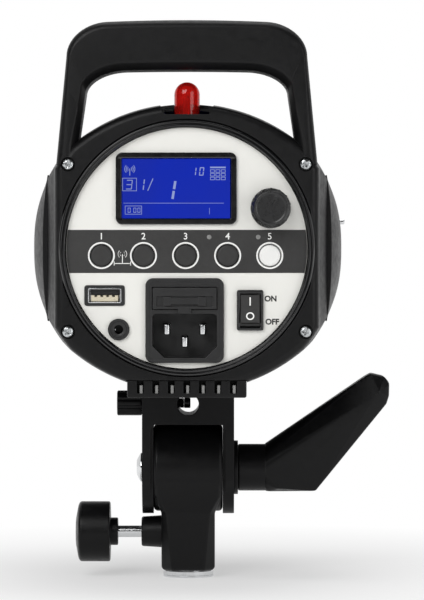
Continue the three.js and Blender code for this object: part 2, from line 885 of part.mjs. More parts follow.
// Foot plate: fills the space between the yoke's flat top and the barrel's round underside.
// Its slotted apron stands in a notch of the rear frame.

const footNotchTop = -frameBore - footNotchWall;

function footPlate() {
  const low = -(shellSection.height + clearance + footMinimum);
  const apronFace = rearFace + footApronInset;
  const pad = block([-footHalfWidth, footHalfWidth], [apronFace, footFront], [low, 0]);
  const barrel = loft([
    ringAt(grown(shellSection, clearance), frameEnd),
    ringAt(grown(shellSection, clearance), footFront + overrun),
  ]);
  const aboveApron = block([-footHalfWidth - overrun, footHalfWidth + overrun],
    [apronFace - overrun, frameEnd + overrun], [footNotchTop - clearance, overrun]);
  const slots = [];
  for (let i = 0; i < footSlotCount; i += 1) {
    const x = (i - (footSlotCount - 1) / 2) * footSlotPitch;
    slots.push(solid(block([x - footSlotWidth / 2, x + footSlotWidth / 2],
      [apronFace - overrun, apronFace + footSlotDepth], [low + footSlotFloor, 0])));
  }
  return cut(solid(pad), solid(barrel), solid(aboveApron), ...slots);
}

place(lampFrame, 'foot_plate', 'blackPlastic', footPlate());

// Barrel: an upper and a lower half, open at both ends, with bosses for the frame's screws

const screwX = frameFace.side - screwSideInset;
const screwPlaces = [[-1, 1], [1, 1], [-1, -1], [1, -1]].map(([x, z]) => [x * screwX, z * screwHeight]);
const screwEnd = rearFace + screwLength;

function halfShell(side) {
  const upper = ({ x, z }) => z > clearance / 2;
  const path = (section) => ringAt(section, 0).filter(upper).map(({ x, z }) => [x, z]);
  const seam = clearance / 2;
  const half = [
    [shellSection.side, seam], ...path(shellSection), [-shellSection.side, seam],
    [-shellInside.side, seam], ...path(shellInside).reverse(), [shellInside.side, seam],
  ];
  let body = solid(prism(polygon(half), 'y', shellStart, shellEnd));
  const window = block([-2 * shellSection.side, 2 * shellSection.side],
    [shellStart + ventWindowInset, shellEnd - ventWindowInset],
    [ventWindowLow, ventWindowHalfHeight]);
  body = body.subtract(solid(window));
  screwPlaces.filter(([, z]) => z > 0).forEach(([x, z]) => {
    const bossEnd = screwEnd + screwBossFloor;
    const boss = solid(moved(rod(screwBossRadius, 'y', shellStart, bossEnd), x, 0, z));
    const outside = solid(loft([ringAt(shellSection, shellStart - overrun),
      ringAt(shellSection, bossEnd + overrun)]));
    const hole = rod(screwShankRadius + clearance, 'y', shellStart - overrun, screwEnd + clearance,
      pinSides);
    body = joined(body, boss.intersect(outside)).subtract(solid(moved(hole, x, 0, z)));
  });
  return side > 0 ? body : body.mirror([0, 0, 1]);
}

place(lampFrame, 'top_shell', 'blackPlastic', halfShell(1));
place(lampFrame, 'bottom_shell', 'blackPlastic', halfShell(-1));

// Side covers: curved panels over the seam, swelling from the frame towards the middle

const coverInner = shellSection.side + clearance;
const coverHalfHeight = Math.sqrt(shellSection.corner ** 2 - shellSection.side ** 2);

function coverRing(along, edge, bulge, halfHeight, base) {
  const points = [];
  const steps = 3 * cornerSteps;
  for (let i = 0; i <= steps; i += 1) {
    const z = halfHeight * (2 * i / steps - 1);
    const x = coverInner + edge + bulge * (1 - (z / coverHalfHeight) ** 2);
    points.push(new THREE.Vector3(x, along, z));
  }
  points.push(new THREE.Vector3(base, along, halfHeight));
  points.push(new THREE.Vector3(base, along, -halfHeight));
  return points;
}

function sideCover(side) {
  const bulge = coverProud - coverEdge;
  const rearBulge = bulge - coverRearInset;
  const outerRing = (along, swell) =>
    coverRing(along, coverEdge, swell, coverHalfHeight, coverInner);
  const outer = loft([
    outerRing(shellStart, rearBulge),
    outerRing(shellStart + coverSwell / 3, rearBulge + (bulge - rearBulge) * coverSwellShare),
    outerRing(shellStart + coverSwell, bulge),
    outerRing(shellEnd - coverSwell, bulge),
    outerRing(shellEnd, bulge - coverNoseInset),
  ]);
  const hollowRing = (along) => coverRing(along, coverEdge - shellWall, bulge,
    coverHalfHeight - 2 * shellWall, coverInner - overrun);
  const hollow = loft([hollowRing(shellStart + coverSwell), hollowRing(shellEnd - coverSwell)]);
  const middle = (shellStart + shellEnd) / 2;
  const vents = [];
  for (let i = 0; i < ventCount; i += 1) {
    const along = middle + (i - (ventCount - 1) / 2) * ventPitch;
    vents.push(solid(block([0, 2 * shellSection.corner],
      [along - ventWidth / 2, along + ventWidth / 2], [-ventHalfHeight, ventHalfHeight])));
  }
  const body = cut(solid(outer), solid(hollow), ...vents);
  return side > 0 ? body : body.mirror([1, 0, 0]);
}

place(lampFrame, 'right_side_cover', 'blackPlastic', sideCover(1));
place(lampFrame, 'left_side_cover', 'blackPlastic', sideCover(-1));

// Rear frame: a flared rim with the carrying handle in one piece

function handleArch() {
  const top = frameFace.height + handleTopRise;
  const shoulder = frameFace.side - handleShoulderInset;
  const cornerLow = top - handleCornerDrop;
  const inside = shoulder - handleLegWidth;
  const insideTop = top - handleGripHeight;
  const insideDrop = handleCornerDrop * handleInnerDropShare;
  const foot = screwHeight;
  const footOuter = frameFace.side - frameEdge / 2;
  const flat = shoulder - handleCornerRun;
  const insideFlat = inside - handleCornerRun;
  const arch = new THREE.Shape();
  arch.moveTo(footOuter, foot);
  arch.lineTo(shoulder, cornerLow);
  arch.absellipse(flat, cornerLow, handleCornerRun, handleCornerDrop, 0, Math.PI / 2);
  arch.absellipse(-flat, cornerLow, handleCornerRun, handleCornerDrop, Math.PI / 2, Math.PI);
  arch.lineTo(-footOuter, foot);
  arch.lineTo(-footOuter + handleLegWidth, foot);
  arch.absellipse(-insideFlat, insideTop - insideDrop, handleCornerRun, insideDrop,
    Math.PI, Math.PI / 2, true);
  arch.absellipse(insideFlat, insideTop - insideDrop, handleCornerRun, insideDrop,
    Math.PI / 2, 0, true);
  arch.lineTo(footOuter - handleLegWidth, foot);
  return arch;
}

function rearFrame() {
  const rim = loft([
    ringAt(grown(frameFace, -frameEdge), rearFace),
    ringAt(frameFace, rearFace + frameEdge),
    ringAt(grown(frameFace, frameEdge / 2), rearFace + frameDepth / 2),
    ringAt(frameBack, frameEnd),
  ]);
  const handle = bevelledPrism(handleArch(), rearFace, frameEnd, handleEdge, 2 * cornerSteps);
  const notchFloor = frameFace.height - domeNotchDepth;
  const notch = block([-domeNotchHalfWidth, domeNotchHalfWidth],
    [rearFace + domeNotchRear, frameEnd - domeNotchRear],
    [notchFloor, frameFace.height + handleEdge]);
  const underNotch = block([-domeNotchHalfWidth - shellWall, domeNotchHalfWidth + shellWall],
    [ledgeBack - overrun, frameEnd + 2 * overrun],
    [notchFloor - domeNotchFloor, frameFace.height]);
  const footNotch = block([-footHalfWidth - clearance, footHalfWidth + clearance],
    [rearFace - overrun, frameEnd + overrun], [-2 * frameFace.height, footNotchTop]);
  const bosses = screwPlaces.map(([x, z]) => solid(moved(
    rod(screwBossRadius, 'y', ledgeBack - overrun, frameEnd + 2 * overrun), x, 0, z)));
  const cavity = cut(
    solid(loft([ringAt(frameInside, ledgeBack), ringAt(frameInside, frameEnd + overrun)])),
    solid(underNotch), ...bosses);
  const holes = screwPlaces.flatMap(([x, z]) => [
    solid(moved(rod(screwCountersinkRadius, 'y', rearFace - overrun,
      rearFace + screwHeadHeight + 2 * clearance, pinSides), x, 0, z)),
    solid(moved(rod(screwShankRadius + clearance, 'y', rearFace, frameEnd + overrun, pinSides),
      x, 0, z)),
  ]);
  return cut(
    joined(solid(rim), solid(handle)),
    solid(rod(frameBore, 'y', rearFace - overrun, ledgeFront, bigSides)),
    solid(rod(panelRadius - frameLedge, 'y', rearFace, ledgeBack + clearance, bigSides)),
    cavity, solid(notch), solid(footNotch), ...holes,
  );
}

place(lampFrame, 'rear_frame', 'blackPlastic', rearFrame());

// Frame screws, each with a cross slot

function frameScrew(x, z) {
  const head = rearFace + clearance;
  const body = turned([
    [0, head], [screwHeadRadius, head], [screwHeadRadius, head + screwHeadHeight],
    [screwShankRadius, head + screwHeadHeight], [screwShankRadius, screwEnd], [0, screwEnd],
  ], 'y', pinSides);
  const [long, wide] = [screwSlotLength / 2, screwSlotWidth / 2];
  const depth = [head - overrun, head + screwSlotDepth];
  const screw = cut(solid(body), solid(block([-long, long], depth, [-wide, wide])),
    solid(block([-wide, wide], depth, [-long, long])));
  return screw.translate([x, 0, z]);
}

screwPlaces.forEach(([x, z], i) => {
  place(lampFrame, `frame_screw_${i + 1}`, 'zinc', frameScrew(x, z));
});

// Retaining ring with a groove round its face

function retainingRing() {
  const faceShares = [[0, 1], [0.15, 0], [0.42, 0], [0.5, 1], [0.58, 0], [0.85, 0], [1, 1]];
  const face = rearFace - ringProud;
  const profile = faceShares.map(([across, deep]) =>
    [ringInner + ringWidth * across, face + ringGroove * deep]);
  profile.push([ringOuter, panelBack], [ringInner, panelBack], profile[0]);
  return turned(profile, 'y', bigSides);
}

place(lampFrame, 'retaining_ring', 'glossBlack', retainingRing());

// Rear panel with a cut-out for each thing that passes through it

const buttonX = (i) => buttonRowX + (i - (buttonCount - 1) / 2) * buttonPitch;
const recessZ = inletZ - inletHeight / 2 + recessFloorGap + recessHeight / 2;
const drawerZ = inletZ + inletHeight / 2 - drawerTop - drawerHeight / 2;

function inletBodyOutline(margin) {
  const half = Math.max(recessWidth, drawerWidth) / 2 + inletBodyWall + margin;
  const low = recessZ - recessHeight / 2 - inletBodyWall - margin;
  const high = drawerZ + drawerHeight / 2 + inletBodyWall + margin;
  return [
    [inletX - half + recessChamfer, low], [inletX + half - recessChamfer, low],
    [inletX + half, low + recessChamfer], [inletX + half, high],
    [inletX - half, high], [inletX - half, low + recessChamfer],
  ];
}

function rearPanel() {
  const disc = new THREE.Shape();
  disc.absarc(0, 0, panelRadius, 0, 2 * Math.PI);
  const round = (x, z, radius) => new THREE.Path().absarc(x, z, radius, 0, 2 * Math.PI, true);
  const square = (x, z, width, height) => new THREE.Path([
    new THREE.Vector2(x - width / 2, z - height / 2), new THREE.Vector2(x - width / 2, z + height / 2),
    new THREE.Vector2(x + width / 2, z + height / 2), new THREE.Vector2(x + width / 2, z - height / 2),
  ]);
  for (let i = 0; i < buttonCount; i += 1) {
    disc.holes.push(round(buttonX(i), buttonRowZ, buttonRadius + clearance));
  }
  disc.holes.push(
    square(bezelX, bezelZ, screenWidth + 2 * clearance, screenHeight + 2 * clearance),
    round(setKnobX, setKnobZ, setShaftRadius + clearance),
    square(usbX, usbZ, usbWidth + 2 * clearance, usbHeight + 2 * clearance),
    round(jackX, jackZ, jackBarrelRadius + clearance),
    square(rockerX, rockerZ, rockerWidth - 2 * rockerLip + 2 * clearance,
      rockerHeight - 2 * rockerLip + 2 * clearance),
    new THREE.Path(inletBodyOutline(clearance).map(([x, z]) => new THREE.Vector2(x, z))),
  );
  return prism(disc, 'y', panelFront, panelBack, midSides / 2);
}

place(lampFrame, 'rear_panel', 'panelFilm', rearPanel());

// Display: a glossy bezel on the panel, and the module behind with its screen in the bezel

const onPanel = panelFront - clearance;

function lcdBezel() {
  const outline = roundedRectangle(bezelX, bezelZ, bezelWidth, bezelHeight, bezelCorner);
  outline.holes.push(roundedRectangle(bezelX, bezelZ, screenWidth + 2 * clearance,
    screenHeight + 2 * clearance, clearance));
  return prism(outline, 'y', onPanel - bezelThickness, onPanel);
}

function lcdModule() {
  const [halfWidth, halfHeight] = [screenWidth / 2, screenHeight / 2];
  const screen = block([bezelX - halfWidth, bezelX + halfWidth],
    [panelFront - screenLift, boardFront - clearance], [bezelZ - halfHeight, bezelZ + halfHeight]);
  const edge = displayBorder + clearance;
  const body = block([bezelX - halfWidth - edge, bezelX + halfWidth + edge],
    [panelBack + clearance, boardFront - clearance],
    [bezelZ - halfHeight - edge, bezelZ + halfHeight + edge]);
  return joined(solid(screen), solid(body));
}

place(lampFrame, 'lcd_bezel', 'glossBlack', lcdBezel());
place(lampFrame, 'lcd_module', 'screenBlue', lcdModule());

// Buttons with a collar behind the panel and a stem that ends just over its switch

function button() {
  const front = panelFront - buttonProud;
  const collar = panelBack + clearance;
  const collarRadius = buttonRadius + buttonCollar;
  const stemEnd = boardFront - switchHeight - buttonTravel - clearance;
  return turned([
    [0, front], [buttonRadius - buttonEdge, front], [buttonRadius, front + buttonEdge],
    [buttonRadius, collar], [collarRadius, collar],
    [collarRadius, collar + buttonCollarThickness],
    [buttonStemRadius, collar + buttonCollarThickness], [buttonStemRadius, stemEnd], [0, stemEnd],
  ], 'y', smallSides);
}

for (let i = 0; i < buttonCount; i += 1) {
  const look = i === buttonCount - 1 ? 'whitePlastic' : 'blackPlastic';
  const mesh = place(lampFrame, `button_${i + 1}`, look, button());
  mesh.position.set(buttonX(i), 0, buttonRowZ);
}

// Setting knob on its shaft, and the encoder that the shaft turns in

const knobBase = panelFront - setKnobLift;
const knobFace = knobBase - setKnobHeight;

function setKnob() {
  const edge = setKnobRadius - setKnobFaceRadius;
  const body = turned([
    [0, knobFace], [setKnobFaceRadius, knobFace], [setKnobRadius, knobFace + edge],
    [setKnobRadius, knobBase], [0, knobBase],
  ], 'y', midSides);
  const flutes = [];
  for (let i = 0; i < setKnobFlutes; i += 1) {
    const turn = 2 * Math.PI * i / setKnobFlutes;
    const reach = setKnobRadius + setKnobFluteRadius / 2;
    flutes.push(solid(moved(rod(setKnobFluteRadius, 'y', knobFace - overrun, knobBase + overrun,
      fluteSides), reach * Math.cos(turn), 0, reach * Math.sin(turn))));
  }
  const socket = rod(setShaftRadius + clearance, 'y', knobBase - setKnobSocketDepth,
    knobBase + overrun);
  return cut(solid(body), solid(socket), ...flutes);
}

function encoderBody() {
  const half = encoderHalfWidth;
  const body = block([-half, half], [panelBack + clearance, boardFront - clearance], [-half, half]);
  const bore = rod(setShaftRadius + clearance, 'y', panelBack - overrun,
    boardFront - clearance - encoderFloor);
  return cut(solid(body), solid(bore));
}

place(lampFrame, 'set_knob', 'blackPlastic', setKnob()).position.set(setKnobX, 0, setKnobZ);
place(lampFrame, 'encoder_body', 'zinc', encoderBody()).position.set(setKnobX, 0, setKnobZ);
place(lampFrame, 'set_shaft', 'steel', rod(setShaftRadius, 'y',
  knobBase - setKnobSocketDepth + clearance,
  boardFront - encoderFloor - setKnobTravel - 2 * clearance,
)).position.set(setKnobX, 0, setKnobZ);

// USB socket: a steel shell, closed at the back, round its contact tongue

const usbFront = panelFront - usbProud;

function usbShell() {
  const [halfWidth, halfHeight] = [usbWidth / 2, usbHeight / 2];
  const back = boardFront - clearance;
  const outer = block([-halfWidth, halfWidth], [usbFront, back], [-halfHeight, halfHeight]);
  const [innerWidth, innerHeight] = [halfWidth - usbWall, halfHeight - usbWall];
  const inner = block([-innerWidth, innerWidth], [usbFront - overrun, back - usbWall],
    [-innerHeight, innerHeight]);
  return cut(solid(outer), solid(inner));
}

function usbTongue() {
  const half = usbWidth / 2 - usbWall - usbTongueInset;
  const low = -usbHeight / 2 + usbWall + clearance;
  return block([-half, half], [usbFront + usbTongueInset, boardFront - usbWall - 2 * clearance],
    [low, low + usbTongueHeight]);
}

place(lampFrame, 'usb_shell', 'steel', usbShell()).position.set(usbX, 0, usbZ);
place(lampFrame, 'usb_tongue', 'whitePlastic', usbTongue()).position.set(usbX, 0, usbZ);

// Sync jack: a nut on the panel and a blind bore

function syncJack() {
  const front = onPanel - jackNutHeight;
  const back = front + jackDepth;
  return turned([
    [jackBoreRadius, front], [jackNutRadius, front], [jackNutRadius, onPanel],
    [jackBarrelRadius, onPanel], [jackBarrelRadius, back], [0, back],
    [0, back - jackFloor], [jackBoreRadius, back - jackFloor], [jackBoreRadius, front],
  ], 'y', smallSides);
}

place(lampFrame, 'sync_jack', 'blackPlastic', syncJack()).position.set(jackX, 0, jackZ);

// Mains inlet: a housing with the plug's recess, three blades and a pocket for the fuse drawer

const inletFront = onPanel - inletPlate;
const inletBack = onPanel + inletDepth;
const bladePlaces = {
  line_pin: [inletX - bladeSpacing / 2, recessZ + bladeRise],
  neutral_pin: [inletX + bladeSpacing / 2, recessZ + bladeRise],
  earth_pin: [inletX, recessZ - earthDrop],
};

function inletHousing() {
  const plate = roundedRectangle(inletX, inletZ, inletWidth, inletHeight, inletCorner);
  const half = recessWidth / 2;
  const [low, high] = [recessZ - recessHeight / 2, recessZ + recessHeight / 2];
  const recess = polygon([
    [inletX - half + recessChamfer, low], [inletX + half - recessChamfer, low],
    [inletX + half, low + recessChamfer], [inletX + half, high],
    [inletX - half, high], [inletX - half, low + recessChamfer],
  ]);
  const pocket = block([inletX - drawerWidth / 2, inletX + drawerWidth / 2],
    [inletFront - overrun, inletFront + drawerDepth + clearance],
    [drawerZ - drawerHeight / 2, drawerZ + drawerHeight / 2]);
  const slots = Object.values(bladePlaces).map(([x, z]) => {
    const [halfWidth, halfHeight] = [bladeWidth / 2 + clearance, bladeHeight / 2 + clearance];
    return solid(block([x - halfWidth, x + halfWidth], [inletFront, inletBack + overrun],
      [z - halfHeight, z + halfHeight]));
  });
  return cut(
    joined(solid(prism(plate, 'y', inletFront, onPanel)),
      solid(prism(polygon(inletBodyOutline(0)), 'y', onPanel - inletPlate / 2, inletBack))),
    solid(prism(recess, 'y', inletFront - overrun, inletFront + recessDepth)),
    solid(pocket), ...slots,
  );
}

place(lampFrame, 'inlet_housing', 'blackPlastic', inletHousing());
Object.entries(bladePlaces).forEach(([name, [x, z]]) => {
  place(lampFrame, name, 'steel', block([x - bladeWidth / 2, x + bladeWidth / 2],
    [inletFront + bladeRecess, inletBack + bladeTail], [z - bladeHeight / 2, z + bladeHeight / 2]));
});

// Fuse drawer: a plug of the pocket with a tray for the fuse and a finger tab

const fuseY = inletFront + fuseSetback + fuseRadius;

function fuseDrawer() {
  const half = drawerWidth / 2 - clearance;
  const [low, high] = [drawerZ - drawerHeight / 2 + clearance, drawerZ + drawerHeight / 2 - clearance];
  const front = inletFront - clearance - drawerTabThickness;
  const body = block([inletX - half, inletX + half], [front, inletFront + drawerDepth], [low, high]);
  const tab = block([inletX - drawerTabWidth / 2, inletX + drawerTabWidth / 2],
    [front, front + drawerTabThickness], [low - clearance - drawerTabHeight, low + drawerTabHeight]);
  const room = fuseRadius + clearance;
  const trayHalf = fuseLength / 2 + clearance;
  const tray = block([inletX - trayHalf, inletX + trayHalf], [fuseY - room, fuseY + room],
    [drawerZ - room, high + overrun]);
  return cut(joined(solid(body), solid(tab)), solid(tray));
}

place(lampFrame, 'fuse_drawer', 'blackPlastic', fuseDrawer());
place(lampFrame, 'fuse', 'clearGlass', rod(fuseRadius, 'x', -fuseLength / 2, fuseLength / 2, pinSides))
  .position.set(inletX, fuseY, drawerZ);

// Power switch: a housing with a rocker that is pressed in at its upper end

const rockerPivotY = onPanel - rockerFlange + rockerPivotDepth;

function rockerHousing() {
  const [halfWidth, halfHeight] = [rockerWidth / 2, rockerHeight / 2];
  const flange = block([-halfWidth, halfWidth], [onPanel - rockerFlange, onPanel],
    [-halfHeight, halfHeight]);
  const [bodyWidth, bodyHeight] = [halfWidth - rockerLip, halfHeight - rockerLip];
  const body = block([-bodyWidth, bodyWidth], [onPanel - rockerFlange / 2, onPanel + rockerDepth],
    [-bodyHeight, bodyHeight]);
  const [pocketWidth, pocketHeight] = [bodyWidth - rockerWall, bodyHeight - rockerWall];
  const pocket = block([-pocketWidth, pocketWidth],
    [onPanel - rockerFlange - overrun, onPanel + rockerDepth - 2 * rockerWall],
    [-pocketHeight, pocketHeight]);
  return cut(joined(solid(flange), solid(body)), solid(pocket));
}

function powerRocker() {
  const half = rockerWidth / 2 - rockerLip - rockerWall - clearance;
  const faceAtMiddle = -rockerPivotDepth - rockerKeyProud;
  const faceAtEnd = faceAtMiddle - rockerKeyDish;
  const root = rockerKeyHalfLength / 2;
  const side = polygon([
    [faceAtEnd, -rockerKeyHalfLength], [0, -rockerKeyHalfLength], [rockerKeyRoot, -root],
    [rockerKeyRoot, root], [0, rockerKeyHalfLength], [faceAtEnd, rockerKeyHalfLength],
    [faceAtMiddle, 0],
  ]);
  return prism(side, 'x', -half, half);
}

place(lampFrame, 'rocker_housing', 'glossBlack', rockerHousing()).position.set(rockerX, 0, rockerZ);
const rockerMesh = place(lampFrame, 'power_rocker', 'blackPlastic', powerRocker());
rockerMesh.rotation.x = -THREE.MathUtils.degToRad(rockerTilt);
rockerMesh.position.set(rockerX, rockerPivotY, rockerZ);

// Slave lens: a hollow red dome in the notch of the frame

function slaveDome() {
  const base = frameFace.height - domeNotchDepth + clearance;
  const arc = (radius) => Array.from({ length: domeSteps + 1 }, (_, step) => {
    const turn = Math.PI / 2 * step / domeSteps;
    return [radius * Math.cos(turn), base + domeHeight - domeRadius + radius * Math.sin(turn)];
  });
  const inside = domeRadius - domeWall;
  return turned([[inside, base], [domeRadius, base], ...arc(domeRadius),
    ...arc(inside).reverse(), [inside, base]], 'z', smallSides);
}

place(lampFrame, 'slave_dome', 'redLens', slaveDome()).position.y = rearFace + domeSetback;

// Front housing: narrows from the barrel to a round rim that holds the reflector mount

const frontStart = shellEnd + clearance;
const frontEnd = frontStart + frontLength;
const frontRim = mountRadius + clearance + frontRimWall;

function frontHousing() {
  const end = {
    height: frontRim, crown: frontRim + frameEdge, corner: frontRim + frameEdge / 2, side: frontRim,
  };
  const start = {
    height: Math.max(shellSection.height, end.height),
    crown: Math.max(shellSection.crown, end.crown),
    corner: Math.max(shellSection.corner, end.corner),
    side: Math.max(coverInner + coverProud - coverNoseInset, end.side),
  };
  const outer = loft([
    ringAt(start, frontStart),
    ringAt(grown(start, -frameEdge), frontStart + frontLength / 2),
    ringAt(end, frontEnd),
  ]);
  return cut(
    solid(outer),
    solid(rod(mountOpeningRadius, 'y', frontStart - overrun, frontEnd + overrun, bigSides)),
    solid(rod(mountRadius + clearance, 'y', frontStart + frontFloor, frontEnd + overrun, bigSides)),
  );
}

place(lampFrame, 'front_housing', 'blackPlastic', frontHousing());

// Reflector plate, and the mount ring with three notches for a modifier's lugs

const plateRear = frontStart + frontFloor + clearance;
const plateFront = plateRear + plateThickness;
const mountRear = plateFront + clearance;
const mountFront = mountRear + mountLength;
const lampSocketOuter = lampBaseRadius + clearance + lampSocketWall;
const flashLegTurn = Math.PI * flashGapShare;
const flashLegPlaces = [-1, 1].map((side) => [
  flashRingRadius * Math.sin(side * flashLegTurn), -flashRingRadius * Math.cos(flashLegTurn)]);

function reflectorPlate() {
  const disc = new THREE.Shape();
  disc.absarc(0, 0, mountRadius, 0, 2 * Math.PI);
  disc.holes.push(new THREE.Path().absarc(0, 0, lampSocketOuter + clearance, 0, 2 * Math.PI, true));
  flashLegPlaces.forEach(([x, z]) => {
    disc.holes.push(new THREE.Path().absarc(x, z, flashTubeRadius + clearance, 0, 2 * Math.PI, true));
  });
  return prism(disc, 'y', plateRear, plateFront, smallSides / 2);
}

const lockPinY = mountFront - mountLip - lockPinHeadRadius - clearance;

function bayonetRing() {
  const channel = mountRadius - mountWall;
  const lipInner = channel - mountNotchDepth;
  const ring = turned([
    [mountOpeningRadius, mountRear], [mountRadius, mountRear], [mountRadius, mountFront],
    [lipInner, mountFront], [lipInner, mountFront - mountLip], [channel, mountFront - mountLip],
    [channel, mountRear + mountFlange], [mountOpeningRadius, mountRear + mountFlange],
    [mountOpeningRadius, mountRear],
  ], 'y', bigSides);
  const notches = [];
  for (let i = 0; i < mountNotches; i += 1) {
    const notch = block([-mountNotchWidth / 2, mountNotchWidth / 2],
      [mountFront - mountLip - overrun, mountFront + overrun], [lipInner - overrun, channel]);
    notch.rotateY(2 * Math.PI * i / mountNotches);
    notches.push(solid(notch));
  }
  const room = lockPinRadius + clearance;
  const slot = block([lipInner / 2, mountRadius + overrun],
    [lockPinY - lockTravel - room, lockPinY + room], [lockPinHeight - room, lockPinHeight + room]);
  return cut(solid(ring), ...notches, solid(slot));
}

place(lampFrame, 'reflector_plate', 'aluminium', reflectorPlate());
place(lampFrame, 'bayonet_ring', 'aluminium', bayonetRing());

// Lock pin: a headed pin through the mount ring, drawn back along the lamp to free a modifier

function lockPin() {
  const channel = mountRadius - mountWall;
  const headHigh = lockPinHeight + lockPinHeadRadius + clearance;
  const headFace = Math.sqrt(channel ** 2 - headHigh ** 2) - clearance;
  return turned([
    [0, headFace - lockPinHeadLength], [lockPinHeadRadius, headFace - lockPinHeadLength],
    [lockPinHeadRadius, headFace], [lockPinRadius, headFace], [lockPinRadius, lockPinReach],
    [0, lockPinReach],
  ], 'x', pinSides);
}

place(lampFrame, 'lock_pin', 'steel', lockPin()).position.set(0, lockPinY, lockPinHeight);

// Modelling lamp in its socket, and the flash tube bent round it

const lampSocketBack = plateRear - clearance - lampSocketLength;
const lampBack = lampSocketBack + lampSocketWall + clearance;

function lampSocket() {
  const bore = lampBaseRadius + clearance;
  const flange = lampSocketOuter + lampSocketFlange;
  const front = plateFront + lampSocketLip;
  return turned([
    [0, lampSocketBack], [lampSocketOuter, lampSocketBack],
    [lampSocketOuter, plateRear - clearance - lampSocketWall],
    [flange, plateRear - clearance - lampSocketWall], [flange, plateRear - clearance],
    [lampSocketOuter, plateRear - clearance], [lampSocketOuter, front], [bore, front],
    [bore, lampSocketBack + lampSocketWall], [0, lampSocketBack + lampSocketWall],
  ], 'y', midSides);
}

function modellingLamp() {
  const neck = lampBack + lampBaseLength;
  const bulb = neck + lampNeckLength;
  const bulbShares = [
    [0.9, 0.08], [1, 0.22], [1, 0.6], [0.92, 0.78], [0.7, 0.91], [0.38, 0.98], [0, 1],
  ];
  const bulbPoints = bulbShares.map(([across, along]) =>
    [lampBulbRadius * across, bulb + lampBulbLength * along]);
  return turned([
    [0, lampBack], [lampBaseRadius, lampBack], [lampBaseRadius, neck], [lampNeckRadius, neck],
    [lampNeckRadius, bulb], ...bulbPoints,
  ], 'y', smallSides);
}

function flashTube() {
  const ringY = plateFront + flashRingLift;
  const legEnd = plateRear - flashLegDepth;
  const section = new THREE.Shape();
  section.absarc(0, 0, flashTubeRadius, 0, 2 * Math.PI);
  const [left, right] = flashLegPlaces;
  const bend = 2 * flashTubeRadius;
  const points = [new THREE.Vector3(right[0], legEnd, right[1]),
    new THREE.Vector3(right[0], (legEnd + ringY - bend) / 2, right[1]),
    new THREE.Vector3(right[0], ringY - bend, right[1])];
  for (let i = 1; i < flashRingSteps; i += 1) {
    const turn = flashLegTurn + (2 * Math.PI - 2 * flashLegTurn) * (i / flashRingSteps);
    points.push(new THREE.Vector3(
      flashRingRadius * Math.sin(turn), ringY, -flashRingRadius * Math.cos(turn)));
  }
  points.push(new THREE.Vector3(left[0], ringY - bend, left[1]),
    new THREE.Vector3(left[0], (legEnd + ringY - bend) / 2, left[1]),
    new THREE.Vector3(left[0], legEnd, left[1]));
  return new THREE.ExtrudeGeometry(section, {
    steps: 2 * midSides, bevelEnabled: false, curveSegments: cornerSteps,
    extrudePath: new THREE.CatmullRomCurve3(points),
  });
}

place(lampFrame, 'lamp_socket', 'whitePlastic', lampSocket());
place(lampFrame, 'modelling_lamp', 'clearGlass', modellingLamp());
place(lampFrame, 'flash_tube', 'clearGlass', flashTube());

// Control board behind the panel, with a switch under each button

function controlBoard() {
  const outline = inletBodyOutline(2 * clearance);
  const [left, right] = [outline[4][0], outline[3][0]];
  const notchTop = outline[3][1];
  const board = prism(polygon([
    [-boardHalfWidth, boardTop], [-boardHalfWidth, -boardLowEdge], [left, -boardLowEdge],
    [left, notchTop], [right, notchTop], [right, -boardLowEdge],
    [boardHalfWidth, -boardLowEdge], [boardHalfWidth, boardTop],
  ]), 'y', boardFront, boardFront + boardThickness);
  const switches = [];
  for (let i = 0; i < buttonCount; i += 1) {
    const x = buttonX(i);
    switches.push(solid(block([x - switchHalfWidth, x + switchHalfWidth],
      [boardFront - switchHeight, boardFront + boardThickness / 2],
      [buttonRowZ - switchHalfWidth, buttonRowZ + switchHalfWidth])));
  }
  return joined(solid(board), ...switches);
}

place(lampFrame, 'control_board', 'greenBoard', controlBoard());

// Chassis across the barrel, with the power board hung under it on four standoffs

const chassisTop = -chassisDrop;
const chassisLow = chassisTop - chassisThickness;
const powerBoardTop = chassisLow - powerBoardDrop - clearance;
const powerBoardStart = shellStart + powerBoardRear;
const powerBoardEnd = powerBoardStart + powerBoardLength;

function chassis() {
  const half = shellInside.side - clearance;
  const plate = block([-half, half], [shellStart + chassisRear, shellEnd - chassisFrontInset],
    [chassisLow, chassisTop]);
  const standoffs = [];
  [-1, 1].forEach((side) => {
    const x = side * (powerBoardHalfWidth - standoffInset);
    [powerBoardStart + standoffInset, powerBoardEnd - standoffInset].forEach((y) => {
      standoffs.push(solid(moved(
        rod(standoffRadius, 'z', chassisLow - powerBoardDrop, chassisTop, pinSides), x, y, 0)));
    });
  });
  return joined(solid(plate), ...standoffs);
}

function powerBoard() {
  const board = block([-powerBoardHalfWidth, powerBoardHalfWidth],
    [powerBoardStart, powerBoardEnd], [powerBoardTop - boardThickness, powerBoardTop]);
  const middle = (powerBoardStart + powerBoardEnd) / 2;
  const transformer = block([-transformerWidth / 2, transformerWidth / 2],
    [middle - transformerLength / 2, middle + transformerLength / 2],
    [powerBoardTop - boardThickness - transformerHeight, powerBoardTop - boardThickness / 2]);
  return joined(solid(board), solid(transformer));
}

function flashCapacitor() {
  const [rear, front] = [shellStart + capacitorRear, shellStart + capacitorRear + capacitorLength];
  const radius = capacitorRadius;
  return turned([
    [0, rear], [radius - capacitorEdge, rear], [radius, rear + capacitorEdge],
    [radius, front - capacitorEdge], [radius - capacitorEdge, front], [0, front],
  ], 'y', midSides);
}

place(lampFrame, 'chassis', 'aluminium', chassis());
place(lampFrame, 'power_board', 'greenBoard', powerBoard());
place(lampFrame, 'flash_capacitor', 'capacitorSleeve', flashCapacitor())
  .position.set(capacitorX, 0, chassisTop + clearance + capacitorRadius);

// Fan: a square frame with a pin on three arms, and the impeller on the pin

